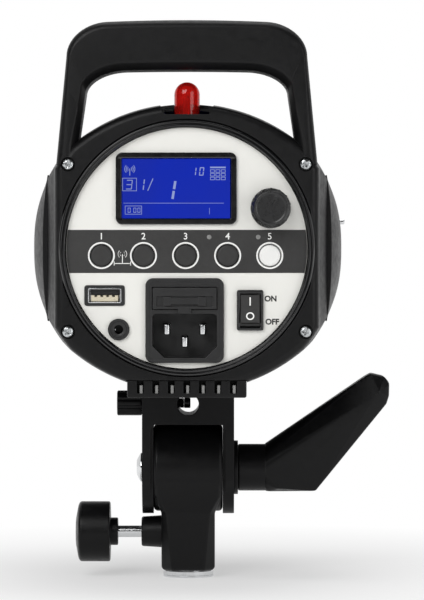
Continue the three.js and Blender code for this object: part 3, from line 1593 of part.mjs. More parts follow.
const fanRear = shellStart + fanSetback;
const fanFront = fanRear + fanThickness;
const fanZ = chassisTop + clearance + fanSize / 2;

function fanFrame() {
  const half = fanSize / 2;
  const duct = fanBladeRadius + 2 * clearance;
  const box = cut(solid(block([-half, half], [fanRear, fanFront], [-half, half])),
    solid(rod(duct, 'y', fanRear - overrun, fanFront + overrun, midSides)));
  const arms = [];
  for (let i = 0; i < fanArmCount; i += 1) {
    const arm = block([-fanArmWidth / 2, fanArmWidth / 2], [fanRear, fanRear + fanArmThickness],
      [0, duct + overrun / 2]);
    arm.rotateY(2 * Math.PI * i / fanArmCount);
    arms.push(solid(arm));
  }
  return joined(box, solid(rod(fanHubRadius, 'y', fanRear, fanRear + fanArmThickness)),
    solid(rod(fanPinRadius, 'y', fanRear, fanFront, pinSides)), ...arms);
}

function fanImpeller() {
  const rear = fanRear + fanArmThickness + clearance;
  const middle = rear + fanHubLength / 2;
  const blades = [];
  for (let i = 0; i < fanBladeCount; i += 1) {
    const blade = block([-fanBladeThickness / 2, fanBladeThickness / 2],
      [-fanBladeWidth / 2, fanBladeWidth / 2], [fanHubRadius / 2, fanBladeRadius]);
    blade.rotateZ(THREE.MathUtils.degToRad(fanBladeTurn));
    blade.translate(0, middle, 0);
    blade.rotateY(2 * Math.PI * i / fanBladeCount);
    blades.push(solid(blade));
  }
  const hub = rod(fanHubRadius, 'y', rear, rear + fanHubLength);
  const bore = rod(fanPinRadius + clearance, 'y', rear - overrun, rear + fanHubLength + overrun);
  return cut(joined(solid(hub), ...blades), solid(bore));
}

place(lampFrame, 'fan_frame', 'blackPlastic', fanFrame()).position.z = fanZ;
place(lampFrame, 'fan_impeller', 'blackPlastic', fanImpeller()).position.z = fanZ;

export default whole;
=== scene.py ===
import math

import bmesh
import bpy
from mathutils import Matrix, Vector


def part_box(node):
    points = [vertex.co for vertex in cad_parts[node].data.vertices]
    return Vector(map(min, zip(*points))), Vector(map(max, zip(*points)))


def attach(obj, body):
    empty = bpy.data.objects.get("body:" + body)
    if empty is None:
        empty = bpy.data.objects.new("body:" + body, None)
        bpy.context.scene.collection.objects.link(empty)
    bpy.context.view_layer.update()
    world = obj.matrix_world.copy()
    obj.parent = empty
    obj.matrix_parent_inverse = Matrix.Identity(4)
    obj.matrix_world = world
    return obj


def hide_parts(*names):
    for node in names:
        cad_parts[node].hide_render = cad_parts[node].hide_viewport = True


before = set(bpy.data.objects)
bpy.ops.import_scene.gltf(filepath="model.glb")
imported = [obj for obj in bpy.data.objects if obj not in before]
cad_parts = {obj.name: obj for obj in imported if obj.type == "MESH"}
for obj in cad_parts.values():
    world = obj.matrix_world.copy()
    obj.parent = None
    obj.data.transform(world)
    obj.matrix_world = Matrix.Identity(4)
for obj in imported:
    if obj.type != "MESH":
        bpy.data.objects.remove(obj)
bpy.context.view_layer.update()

# Shapes are made in millimetres, and become metres when a piece is dressed.
MM = 0.001
PI = math.pi
# The clearance between two fitted pieces, and how far a cutting tool reaches past what it cuts
GAP = 0.3
PAST = 2.0


# Outlines


def arc(centre, radius, start, end, steps):
    """Points of an arc, ends included. The radius may be a pair, for an ellipse."""
    rx, ry = radius if isinstance(radius, tuple) else (radius, radius)
    turns = [start + (end - start) * i / steps for i in range(steps + 1)]
    return [(centre[0] + rx * math.cos(t), centre[1] + ry * math.sin(t)) for t in turns]


def circle(centre, radius, steps=64):
    return arc(centre, radius, 0, 2 * PI, steps)[:-1]


def filleted(points, radius, closed=True, steps=4):
    """An outline with its corners rounded. The radius is one number, or one for each corner."""
    out = []
    count = len(points)
    for i, point in enumerate(points):
        r = radius[i] if isinstance(radius, (list, tuple)) else radius
        corner = Vector(point)
        back = Vector(points[i - 1]) - corner
        on = Vector(points[(i + 1) % count]) - corner
        is_end = not closed and i in (0, count - 1)
        if r <= 0 or is_end or back.angle(on) > PI - 0.01:
            out.append(tuple(point))
            continue
        half_turn = math.tan(back.angle(on) / 2)
        trim = min(r / half_turn, 0.49 * back.length, 0.49 * on.length)
        r = trim * half_turn
        u, v = back.normalized(), on.normalized()
        centre = corner + (u + v).normalized() * (r / math.sin(back.angle(on) / 2))
        s, e = corner + u * trim - centre, corner + v * trim - centre
        turn = math.atan2(s.x * e.y - s.y * e.x, s.dot(e))
        for k in range(steps + 1):
            t = turn * k / steps
            out.append((centre.x + s.x * math.cos(t) - s.y * math.sin(t),
                        centre.y + s.x * math.sin(t) + s.y * math.cos(t)))
    return out


def rectangle(low, high, corner=0.0, steps=6):
    points = [(low[0], low[1]), (high[0], low[1]), (high[0], high[1]), (low[0], high[1])]
    return filleted(points, corner, steps=steps) if corner else points


def around(middle, half):
    return middle - half, middle + half


def wider(ends, by):
    return ends[0] - by, ends[1] + by


def both_sides(line):
    """A line on the right that ends at the middle, and its mirror image on the left."""
    return line + [(-x, z) for x, z in line[-2::-1]]


# Places, read from the CAD nodes


class Place:
    """The box of a CAD node in millimetres: its sides, its ranges and its middle.
    The object is seen from its rear."""

    def __init__(self, node):
        low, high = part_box(node)
        self.left, self.rear, self.bottom = (v / MM for v in low)
        self.right, self.front, self.top = (v / MM for v in high)
        self.across = (self.left, self.right)
        self.along = (self.rear, self.front)
        self.up = (self.bottom, self.top)
        self.x, self.y, self.z = (sum(ends) / 2 for ends in (self.across, self.along, self.up))

    def outline(self, grow=0.0, corner=0.0, steps=6, grow_z=None):
        """The box seen from the rear, in X and Z, made larger all round."""
        up = grow if grow_z is None else grow_z
        low, high = (self.left - grow, self.bottom - up), (self.right + grow, self.top + up)
        return rectangle(low, high, corner, steps)


TILT = (0, 0, Place("tilt_bolt").z)
CLAMP = (0, 0, Place("clamp_screw").z)
UMBRELLA = (0, 0, Place("umbrella_screw").z)
LAMP = (0, 0, Place("retaining_ring").z)
TILT_Z, LAMP_Z = TILT[2], LAMP[2]
REAR, FRAME_END = Place("rear_frame").rear, Place("rear_frame").front
SHELL_START, SHELL_END = Place("top_shell").rear, Place("top_shell").front
PANEL_FACE, PANEL_BACK = Place("rear_panel").rear, Place("rear_panel").front
PANEL_RADIUS = Place("rear_panel").right
# The radii of holes that several pieces share
BOLT_HOLE, CLAMP_HOLE, UMBRELLA_HOLE, SCREW_HOLE, LAMP_OPENING = 4.3, 2.7, 2.4, 1.7, 41.0
# Where the flanges of what is fitted to the panel end
FLANGE_BACK = PANEL_FACE - GAP
FRAME_BORE = Place("retaining_ring").right + GAP
SCREWS = [Place(f"frame_screw_{i}") for i in (1, 2, 3, 4)]
BUTTONS = [Place(f"button_{i}") for i in (1, 2, 3, 4, 5)]


# Solids in millimetres


def linked(name, data):
    obj = bpy.data.objects.new(name, data)
    bpy.context.scene.collection.objects.link(obj)
    return obj


def cleaned(obj, merge=1e-4):
    """Merges doubled points, if a distance is given, and turns all faces outwards."""
    bm = bmesh.new()
    bm.from_mesh(obj.data)
    if merge:
        bmesh.ops.remove_doubles(bm, verts=bm.verts, dist=merge)
        bmesh.ops.dissolve_degenerate(bm, edges=bm.edges, dist=merge)
    bmesh.ops.recalc_face_normals(bm, faces=bm.faces)
    bm.to_mesh(obj.data)
    bm.free()
    return obj


def new_object(name, verts, faces, merge=1e-4):
    mesh = bpy.data.meshes.new(name)
    mesh.from_pydata(verts, [], faces)
    return cleaned(linked(name, mesh), merge)


def evaluated_mesh(obj):
    graph = bpy.context.evaluated_depsgraph_get()
    return bpy.data.meshes.new_from_object(obj.evaluated_get(graph))


def applied(obj):
    """The object with its modifiers made part of its mesh."""
    mesh = evaluated_mesh(obj)
    obj.modifiers.clear()
    obj.data = mesh
    return obj


def solid_of(name, curve, place):
    """The solid of a curve or a text, with each of its points put in its place."""
    temporary = linked(name, curve)
    mesh = evaluated_mesh(temporary)
    bpy.data.objects.remove(temporary)
    verts = [place(*v.co) for v in mesh.vertices]
    faces = [list(p.vertices) for p in mesh.polygons]
    bpy.data.meshes.remove(mesh)
    return new_object(name, verts, faces)


# A place across an axis, and along it, as X, Y and Z
AXES = {
    "x": lambda u, v, w: (w, u, v),
    "y": lambda u, v, w: (u, w, v),
    "z": lambda u, v, w: (u, v, w),
}


def revolved(name, profile, axis, centre=(0, 0, 0), steps=96):
    """Turns (radius, along) points round an axis. A profile that leaves the axis closes on itself."""
    closed = profile[0][0] > 0 or profile[-1][0] > 0
    verts, rings = [], []
    for radius, along in profile:
        sides = steps if radius > 0 else 1
        rings.append(list(range(len(verts), len(verts) + sides)))
        for i in range(sides):
            t = 2 * PI * i / steps
            verts.append(AXES[axis](max(0, radius) * math.cos(t), max(0, radius) * math.sin(t), along))
    faces = []
    for k in range(len(rings) if closed else len(rings) - 1):
        a, b = rings[k], rings[(k + 1) % len(rings)]
        for i in range(steps):
            j = (i + 1) % steps
            corners = [a[i % len(a)], a[j % len(a)], b[j % len(b)], b[i % len(b)]]
            faces.append(list(dict.fromkeys(corners)))
    obj = new_object(name, verts, [f for f in faces if len(f) > 2])
    return moved(obj, Matrix.Translation(centre))


def turned(name, profile, radii, axis, centre=(0, 0, 0), steps=96, closed=False, fillet_steps=4):
    """A turned solid whose corners are rounded."""
    return revolved(name, filleted(profile, radii, closed, fillet_steps), axis, centre, steps)


def rod(name, radius, axis, start, end, centre=(0, 0, 0), edge=0.0, steps=64):
    """A round bar with rounded ends."""
    return turned(name, [(0, start), (radius, start), (radius, end), (0, end)], edge, axis, centre, steps)


def washer(name, outer, inner, axis, start, end, centre=(0, 0, 0), edge=0.0, steps=96):
    profile = [(inner, start), (outer, start), (outer, end), (inner, end)]
    return turned(name, profile, edge, axis, centre, steps, closed=True)


def prism(name, loops, axis, start, end, edge=0.01, rings=0):
    """Extrudes an outline and its holes along an axis, with rounded end edges."""
    curve = bpy.data.curves.new(name, "CURVE")
    curve.dimensions = "2D"
    curve.fill_mode = "BOTH"
    curve.extrude = (end - start) / 2 - edge
    curve.bevel_depth = edge
    curve.bevel_resolution = rings
    curve.offset = -edge
    for loop in loops:
        spline = curve.splines.new("POLY")
        spline.points.add(len(loop) - 1)
        for point, (u, v) in zip(spline.points, loop):
            point.co = (u, v, 0, 1)
        spline.use_cyclic_u = True
    shift = (start + end) / 2
    return solid_of(name, curve, lambda u, v, w: AXES[axis](u, v, w + shift))


def block(name, x, y, z, edge=0.0):
    """A box from its ranges along X, Y and Z, with rounded edges if asked for."""
    verts = [(a, b, c) for a in x for b in y for c in z]
    faces = [(0, 1, 3, 2), (4, 6, 7, 5), (0, 4, 5, 1), (2, 3, 7, 6), (0, 2, 6, 4), (1, 5, 7, 3)]
    obj = new_object(name, verts, faces)
    return rounded(obj, edge) if edge else obj


def loft(name, rings, cyclic=False):
    """Joins rings of points with the same count. Flat ends close it, or its last ring meets its first."""
    count = len(rings[0])
    verts = [p for ring in rings for p in ring]
    faces = []
    for k in range(len(rings) if cyclic else len(rings) - 1):
        a, b = k * count, (k + 1) % len(rings) * count
        for i in range(count):
            j = (i + 1) % count
            faces.append((a + i, a + j, b + j, b + i))
    if not cyclic:
        faces.append(tuple(range(count)))
        faces.append(tuple(range(len(verts) - count, len(verts))))
    return new_object(name, verts, faces)


def hull(name, points):
    """The tightest solid without hollows round some points."""
    bm = bmesh.new()
    for point in points:
        bm.verts.new(point)
    made = bmesh.ops.convex_hull(bm, input=bm.verts)
    spare = [g for g in made["geom_interior"] if isinstance(g, bmesh.types.BMVert)]
    bmesh.ops.delete(bm, geom=spare, context="VERTS")
    bmesh.ops.dissolve_limit(bm, angle_limit=0.01, verts=bm.verts, edges=bm.edges)
    mesh = bpy.data.meshes.new(name)
    bm.to_mesh(mesh)
    bm.free()
    return cleaned(linked(name, mesh))


def combined(obj, tools, operation):
    for tool in tools:
        modifier = obj.modifiers.new("join", "BOOLEAN")
        modifier.operation = operation
        modifier.solver = "EXACT"
        modifier.object = tool
        applied(obj)
        bpy.data.objects.remove(tool)
    return cleaned(obj)


def cut(obj, *tools):
    return combined(obj, tools, "DIFFERENCE")


def joined(obj, *tools):
    return combined(obj, tools, "UNION")


def rounded(obj, width, segments=3, angle=30.0):
    """Rounds the edges that are sharper than an angle."""
    modifier = obj.modifiers.new("edges", "BEVEL")
    modifier.width = width
    modifier.segments = segments
    modifier.limit_method = "ANGLE"
    modifier.angle_limit = math.radians(angle)
    modifier.miter_outer = "MITER_ARC"
    return applied(obj)


def merged(name, objects):
    """Several loose solids as one object."""
    bm = bmesh.new()
    for obj in objects:
        bm.from_mesh(obj.data)
        bpy.data.objects.remove(obj)
    mesh = bpy.data.meshes.new(name)
    bm.to_mesh(mesh)
    bm.free()
    return linked(name, mesh)


def moved(obj, matrix):
    obj.data.transform(matrix)
    return obj


def turned_about(obj, degrees, axis, centre):
    turn = Matrix.Rotation(math.radians(degrees), 4, axis)
    place = Matrix.Translation(centre)
    return moved(obj, place @ turn @ place.inverted())


def flutes(count, first, radius, reach, axis, start, end, centre, edge=0.0, steps=24):
    """Rods in a ring round an axis, which cut grooves along a knob. first is the first one's place."""
    tools = []
    for i in range(count):
        t = 2 * PI * (i + first) / count
        spot = Vector(centre) + Vector(AXES[axis](reach * math.cos(t), reach * math.sin(t), 0))
        tools.append(rod("flute", radius, axis, start, end, tuple(spot), edge, steps))
    return tools


def dressed(obj, name, material, nodes=(), body="lamp", sharp=32.0):
    """Gives a piece its name, finish, body and the CAD nodes that it stands for."""
    obj.name = name
    obj.data.name = name
    obj.data.transform(Matrix.Scale(MM, 4))
    obj.data.polygons.foreach_set("use_smooth", [True] * len(obj.data.polygons))
    obj.data.set_sharp_from_angle(angle=math.radians(sharp))
    obj.data.materials.clear()
    obj.data.materials.append(material)
    weighted = obj.modifiers.new("normals", "WEIGHTED_NORMAL")
    weighted.keep_sharp = True
    weighted.weight = 80
    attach(obj, body)
    # A finish whose name a CAD material already has gets a number after a dot
    if nodes:
        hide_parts(*nodes)
    return obj


# Materials


def node_tree(name):
    material = bpy.data.materials.new(name)
    material.use_nodes = True
    tree = material.node_tree
    return material, tree, tree.nodes["Principled BSDF"]


def add(tree, kind, **values):
    node = tree.nodes.new(kind)
    for key, value in values.items():
        setattr(node, key, value)
    return node


def feed(tree, value, socket):
    """Puts a number, a colour or another node's output into a socket."""
    if isinstance(value, bpy.types.NodeSocket):
        tree.links.new(value, socket)
    elif isinstance(value, tuple):
        socket.default_value = (*value, 1)
    else:
        socket.default_value = value


def noise(tree, coordinates, scale, detail=2.0, rough=0.5):
    node = add(tree, "ShaderNodeTexNoise")
    tree.links.new(coordinates, node.inputs["Vector"])
    for key, number in (("Scale", scale), ("Detail", detail), ("Roughness", rough)):
        node.inputs[key].default_value = number
    return node.outputs["Fac"]


def ranged(tree, value, low, high, new_low, new_high):
    node = add(tree, "ShaderNodeMapRange")
    tree.links.new(value, node.inputs["Value"])
    for key, number in (("From Min", low), ("From Max", high), ("To Min", new_low), ("To Max", new_high)):
        node.inputs[key].default_value = number
    return node.outputs["Result"]


def mixed(tree, factor, first, second):
    """A colour between two colours."""
    node = add(tree, "ShaderNodeMix", data_type="RGBA")
    for place, value in ((6, first), (7, second), (0, factor)):
        feed(tree, value, node.inputs[place])
    return node.outputs[2]


def reckoned(tree, operation, first, second):
    """The sum, product or larger of two values."""
    node = add(tree, "ShaderNodeMath", operation=operation)
    feed(tree, first, node.inputs[0])
    feed(tree, second, node.inputs[1])
    return node.outputs[0]


def bumped(tree, shader, height, distance):
    """Raises a shader's surface by a height map."""
    bump = add(tree, "ShaderNodeBump")
    bump.inputs["Strength"].default_value = 1.0
    bump.inputs["Distance"].default_value = distance * MM
    tree.links.new(height, bump.inputs["Height"])
    tree.links.new(bump.outputs["Normal"], shader.inputs["Normal"])


def shaded(colour, share):
    return tuple(min(1, c * share) for c in colour)


def edges(tree, radius, low, high):
    """1 along convex and concave edges, and 0 on flats, from the angle to a rounded normal."""
    soft = add(tree, "ShaderNodeBevel", samples=4)
    soft.inputs["Radius"].default_value = radius
    shape = add(tree, "ShaderNodeNewGeometry")
    dot = add(tree, "ShaderNodeVectorMath", operation="DOT_PRODUCT")
    tree.links.new(soft.outputs["Normal"], dot.inputs[0])
    tree.links.new(shape.outputs["Normal"], dot.inputs[1])
    return ranged(tree, dot.outputs["Value"], high, low, 0, 1)


def worn_edges(tree, tone, patches, colour, amount):
    """A lighter tone along the edges, in patches: partly wear, and partly a painted highlight as if the edges
    caught the light.
    """
    mask = edges(tree, 0.6 * MM, 0.80, 0.99)
    patch = ranged(tree, patches, 0.35, 0.65, 0.2, 1)
    where = reckoned(tree, "MULTIPLY", mask, patch)
    return mixed(tree, reckoned(tree, "MULTIPLY", where, amount), tone, colour)


def surface(name, colour, roughness, metal=0.0, grain=0.35, depth=0.02, mottle=0.15, spread=0.08,
            edge_wear_and_highlight=None, coat=0.0, specular=0.5):
    """A finish with fine grain in its relief, and soft changes in its colour and gloss.
    grain is the grain's size and depth its height, both in millimetres."""
    material, tree, shader = node_tree(name)
    at = add(tree, "ShaderNodeTexCoord").outputs["Object"]
    fine = noise(tree, at, 1 / (grain * MM), 3.0, 0.6)
    broad = noise(tree, at, 55, 4.0, 0.6)
    middling = noise(tree, at, 420, 3.0, 0.6)
    light = shaded(colour, 1 + mottle)
    tone = mixed(tree, ranged(tree, broad, 0.3, 0.7, 0, 1), shaded(colour, 1 - mottle), light)
    speck = mixed(tree, ranged(tree, fine, 0.35, 0.65, 0, 1), shaded(colour, 1 - mottle / 2), light)
    tone = mixed(tree, 0.4, tone, speck)
    # Lighter edges: partly wear, and partly a painted highlight
    if edge_wear_and_highlight:
        tone = worn_edges(tree, tone, middling, *edge_wear_and_highlight)
    gloss = ranged(tree, middling, 0.3, 0.7, max(0.02, roughness - spread), min(1, roughness + spread))
    tree.links.new(tone, shader.inputs["Base Color"])
    tree.links.new(gloss, shader.inputs["Roughness"])
    bumped(tree, shader, fine, depth)
    shader.inputs["Metallic"].default_value = metal
    shader.inputs["Coat Weight"].default_value = coat
    shader.inputs["Coat Roughness"].default_value = 0.08
    shader.inputs["Specular IOR Level"].default_value = specular
    return material


def glassy(name, colour, roughness, index, clear=1.0):
    """A clear or tinted solid that light passes through, with slight ripples."""
    ripple, depth = 1.2, 0.004
    material, tree, shader = node_tree(name)
    at = add(tree, "ShaderNodeTexCoord").outputs["Object"]
    haze = noise(tree, at, 300, 3.0)
    gloss = ranged(tree, haze, 0.3, 0.7, roughness * 0.6, roughness * 1.5 + 0.01)
    tint = mixed(tree, ranged(tree, haze, 0.3, 0.7, 0, 1), shaded(colour, 0.94), colour)
    tree.links.new(gloss, shader.inputs["Roughness"])
    tree.links.new(tint, shader.inputs["Base Color"])
    bumped(tree, shader, noise(tree, at, 1 / (ripple * MM)), depth)
    shader.inputs["Transmission Weight"].default_value = clear
    shader.inputs["IOR"].default_value = index
    return material


def lit(name, colour, strength, contrast=0.12):
    """A surface that glows evenly, with a fine raster, under a smooth clear front."""
    dot_size = 0.25
    material, tree, shader = node_tree(name)
    at = add(tree, "ShaderNodeTexCoord").outputs["Object"]
    broad = noise(tree, at, 40)
    raster = add(tree, "ShaderNodeTexVoronoi", feature="F1", distance="CHEBYCHEV")
    raster.inputs["Scale"].default_value = 1 / (dot_size * MM)
    raster.inputs["Randomness"].default_value = 0.0
    tree.links.new(at, raster.inputs["Vector"])
    dots = ranged(tree, raster.outputs["Distance"], 0.38, 0.5, 0, contrast)
    tone = mixed(tree, ranged(tree, broad, 0.35, 0.65, 0, 1), colour, shaded(colour, 0.86))
    glow = mixed(tree, dots, tone, shaded(colour, 0.3))
    unlit = mixed(tree, dots, (0.002, 0.004, 0.03), (0.001, 0.002, 0.012))
    tree.links.new(glow, shader.inputs["Emission Color"])
    tree.links.new(unlit, shader.inputs["Base Color"])
    tree.links.new(ranged(tree, broad, 0.3, 0.7, 0.12, 0.24), shader.inputs["Roughness"])
    shader.inputs["Emission Strength"].default_value = strength
    shader.inputs["Specular IOR Level"].default_value = 0.2
    return material


# Black finishes, with their edges a little lighter in patches: partly wear, and partly a painted highlight
# where the edges would catch the light
HOUSING = surface("housing_plastic", (0.0042, 0.0042, 0.0045), 0.40, grain=0.45, depth=0.026,
                  edge_wear_and_highlight=((0.035, 0.035, 0.037), 0.4), specular=0.22)
CASTING = surface("painted_casting", (0.0030, 0.0030, 0.0033), 0.38, grain=0.6, depth=0.030,
                  edge_wear_and_highlight=((0.04, 0.04, 0.042), 0.4), specular=0.2)
KNOB = surface("knob_plastic", (0.0028, 0.0028, 0.0031), 0.36, grain=0.4, depth=0.018,
               edge_wear_and_highlight=((0.03, 0.03, 0.032), 0.4), specular=0.2)
SOCKET = surface("socket_plastic", (0.0085, 0.0085, 0.009), 0.44, depth=0.016,
                 edge_wear_and_highlight=((0.06, 0.06, 0.06), 0.4))
# The control plastic's much lighter edges are a painted highlight on the setting knob's rim, with some wear
CONTROL = surface("control_plastic", (0.011, 0.011, 0.0115), 0.30, depth=0.012,
                  edge_wear_and_highlight=((0.16, 0.16, 0.16), 0.6))
BUTTON = surface("button_rubber", (0.022, 0.0215, 0.021), 0.6, grain=0.3, mottle=0.2)
GLOSS = surface("gloss_plastic", (0.004, 0.004, 0.0045), 0.13, grain=1.5, depth=0.003, mottle=0.1,
                spread=0.05, coat=0.4)

# The panel and what is printed on it
PANEL = surface("panel_film", (0.80, 0.795, 0.755), 0.48, depth=0.012, mottle=0.02)
BAND = surface("printed_band", (0.023, 0.0225, 0.022), 0.55, grain=0.28, mottle=0.35)
INK = surface("white_ink", (0.86, 0.86, 0.84), 0.5, grain=0.3, depth=0.01, mottle=0.03)
DARK_INK = surface("dark_ink", (0.010, 0.0095, 0.009), 0.5, grain=0.3, depth=0.01, mottle=0.2)

# Pale plastics and ceramic
WHITE = surface("white_plastic", (0.82, 0.82, 0.80), 0.4, grain=0.4, depth=0.012, mottle=0.03)
CREAM = surface("cream_plastic", (0.62, 0.56, 0.42), 0.45, grain=0.3, depth=0.01, mottle=0.04)
CERAMIC = surface("ceramic", (0.80, 0.78, 0.72), 0.35, grain=0.5, mottle=0.05)
# The grey finish also serves the painted glints in the foot's slots
GREY = surface("grey_plastic", (0.22, 0.22, 0.215), 0.35, grain=0.4, depth=0.01, mottle=0.1)

# Metals
STEEL = surface("steel", (0.74, 0.75, 0.76), 0.17, metal=1.0, depth=0.006, mottle=0.05)
BLACK_STEEL = surface("black_steel", (0.03, 0.03, 0.032), 0.35, metal=0.6, grain=0.3, depth=0.01)
ZINC = surface("zinc", (0.52, 0.54, 0.55), 0.24, metal=1.0, grain=0.3, depth=0.015, mottle=0.12)
BRASS = surface("brass", (0.58, 0.43, 0.18), 0.3, metal=1.0, depth=0.01, mottle=0.1)
GOLD = surface("gold_contact", (0.75, 0.55, 0.22), 0.25, metal=1.0, grain=0.3, depth=0.004, mottle=0.06)
ALUMINIUM = surface("aluminium", (0.62, 0.63, 0.64), 0.34, metal=1.0, depth=0.012, mottle=0.06)

# Inside the barrel
BOARD = surface("circuit_board", (0.02, 0.13, 0.05), 0.35, grain=0.8, mottle=0.25)
SLEEVE = surface("capacitor_sleeve", (0.02, 0.035, 0.07), 0.3, grain=0.8, depth=0.01)

# What glows or lets light through
SCREEN = lit("blue_screen", (0.003, 0.020, 0.44), 0.92)
MARKS = lit("screen_marks", (0.44, 0.53, 0.95), 0.74, contrast=0.2)
RED = glassy("red_lens", (0.80, 0.022, 0.015), 0.05, 1.49, clear=0.75)
CLEAR = glassy("clear_glass", (0.96, 0.97, 0.97), 0.01, 1.46)
FROST = surface("frosted_glass", (0.88, 0.88, 0.86), 0.32, grain=0.6, depth=0.003, mottle=0.02, coat=0.15)

NODE_LOOKS = {
    "clamp_pad": BRASS, "lever_hub": ZINC, "encoder_body": ZINC, "control_board": BOARD,
    "power_board": BOARD, "chassis": ALUMINIUM, "flash_capacitor": SLEEVE, "fan_frame": SOCKET,
    "fan_impeller": SOCKET,
}


# Stand bracket: casting, steel socket, clamp


def octagon(height, half_width, half_depth, facet):
    side = half_depth * facet / half_width
    right = [(half_width, -side), (half_width, side), (facet, half_depth), (-facet, half_depth)]
    return [(x, y, height) for x, y in right + [(-x, -y) for x, y in right]]


def make_tilt_head():
    head = Place("tilt_head")
    radius, half, boss_end = head.front, head.right, head.left
    column, depth, facet, chamfer, knuckle_edge = 11.0, 12.0, 6.6, 1.1, 1.4
    neck_start, neck_end, bore, bore_end = 27.0, 34.0, 9.5, 32.3
    knuckle_depth = radius - knuckle_edge
    knuckle_facet = half - knuckle_edge
    rings = [
        octagon(head.bottom, column - chamfer, depth - chamfer, facet),
        octagon(head.bottom + chamfer, column, depth, facet),
        octagon(neck_start, column, (depth + knuckle_depth) / 2, (facet + column) / 2),
        octagon(neck_end, half, knuckle_depth, knuckle_facet),
        octagon(TILT_Z, half, radius - 0.2, knuckle_facet),
    ]
    body = rounded(loft("column", rings), 0.9, 4, 14)
    cheek = half + 0.2
    wheel = [(0, -cheek), (radius, -cheek), (radius, cheek), (0, cheek)]
    knuckle = turned("knuckle", wheel, knuckle_edge * 1.2, "x", TILT, 160, fillet_steps=6)
    cone = [(0, boss_end), (6.1, boss_end), (6.9, -6.6), (0, -6.6)]
    boss = turned("boss", cone, [0, 0.8, 0, 0], "x", CLAMP)
    return cut(
        rounded(joined(body, knuckle, boss), 0.35, 2, 28),
        rod("bore", bore, "z", -PAST, bore_end, steps=96),
        rod("bolt_hole", BOLT_HOLE, "x", -half - PAST, half + PAST, TILT),
        rod("screw_hole", CLAMP_HOLE, "x", boss_end - PAST, -8, CLAMP),
    )


def make_liner():
    liner = Place("socket_liner")
    bore, wall_end, flange, foot = 8.2, 9.2, liner.right, 2.7
    edge, groove = 0.2, flange - 0.25
    profile = [
        (bore, 0.0), (flange - edge, 0.0), (flange, edge), (flange, 0.75), (groove, 0.85), (groove, 1.0),
        (flange, 1.1), (flange, foot - edge), (flange - edge, foot), (wall_end, foot),
        (wall_end, liner.top), (bore, liner.top),
    ]
    return cut(revolved("liner", profile, "z", steps=160), rod("hole", CLAMP_HOLE, "x", -12, 0, CLAMP))


def make_clamp_knob():
    knob = Place("clamp_knob")
    end, hub_face = knob.across
    radius, hub, face = knob.top - knob.z, 5.7, hub_face - 3.2
    centre = (0, 0, knob.z)
    profile = [
        (0, end), (radius * 0.45, end + 0.25), (radius * 0.86, end + 1.2), (radius, end + 1.9),
        (radius, face), (hub, face), (hub, hub_face), (0, hub_face),
    ]
    body = turned("knob", profile, [0, 6, 3, 1.6, 0.7, 0.5, 0.5, 0], "x", centre, 160, fillet_steps=5)
    return cut(body, rod("socket", CLAMP_HOLE, "x", face, hub_face + PAST, centre))


def make_bracket():
    dressed(make_tilt_head(), "bracket_casting", CASTING, ["tilt_head"], "stand_bracket")
    dressed(make_liner(), "socket_sleeve", STEEL, ["socket_liner"], "stand_bracket")
    screw = rod("screw", 2.4, "x", *Place("clamp_screw").across, CLAMP, 0.3)
    dressed(screw, "clamp_rod", STEEL, ["clamp_screw"], "clamp_knob")
    dressed(make_clamp_knob(), "clamp_hand_knob", KNOB, ["clamp_knob"], "clamp_knob")


# Yoke with its bolt, lever and umbrella lock


def make_yoke():
    yoke = Place("yoke")
    outer, half_depth, top = yoke.right, yoke.front, yoke.top - TILT_Z
    inner, cross, drop = 14.25, 18.3, 19.0
    fork = [(-outer, -drop), (-inner, -drop), (-inner, cross), (inner, cross), (inner, -drop),
            (outer, -drop), (outer, top), (-outer, top)]
    fork = [(x, z + TILT_Z) for x, z in filleted(fork, [0, 0, 0.8, 0.8, 0, 0, 0.8, 0.8])]
    body = prism("fork", [fork], "y", -half_depth, half_depth)
    side = [(half_depth, top + 1), (-half_depth, top + 1)]
    side += arc((0, half_depth - drop), half_depth, PI, 2 * PI, 48)
    side = [(y, z + TILT_Z) for y, z in side]
    body = combined(body, [prism("side", [side], "x", -outer - PAST, outer + PAST)], "INTERSECT")
    # A step along each cheek's rear edge, and a shallow seat round the bolt
    rear, height = (-half_depth - 1, -half_depth + 1.4), (TILT_Z - drop - 1, TILT_Z + cross - 1.2)
    steps = [block("step", around(s * inner, 1.2), rear, height) for s in (-1, 1)]
    seat = washer("seat", 11.5, 9.0, "x", *around(-outer, 0.35), TILT)
    body = rounded(cut(body, *steps, seat), 0.45, 3, 35)
    flare_end = -half_depth + 0.5
    flare = [(0, -half_depth - 1), (5.6, -half_depth - 1), (4.2, flare_end), (0, flare_end)]
    return cut(
        body,
        rod("bolt_hole", BOLT_HOLE, "x", -outer - PAST, outer + PAST, TILT),
        rod("umbrella_bore", 4.4, "y", -half_depth - PAST, half_depth + PAST, UMBRELLA),
        revolved("flare", flare, "y", UMBRELLA, 64),
        rod("screw_hole", UMBRELLA_HOLE, "x", -outer - PAST, 0, UMBRELLA),
    )


def make_bolt():
    start, end = Place("tilt_bolt").across
    head_face, shank = -19.15, 4.0
    profile = [(0, start), (3.0, start + 0.3), (4.8, start + 1.2), (5.9, head_face - 0.5), (6.0, head_face),
               (shank, head_face), (shank, end), (0, end)]
    bolt = turned("bolt", profile, [0, 3, 3, 0.3, 0.1, 0.3, 0.4, 0], "x", TILT)
    return cut(bolt, prism("key", [circle((0, TILT_Z), 2.3, 6)], "x", start - 1, start + 1.6))


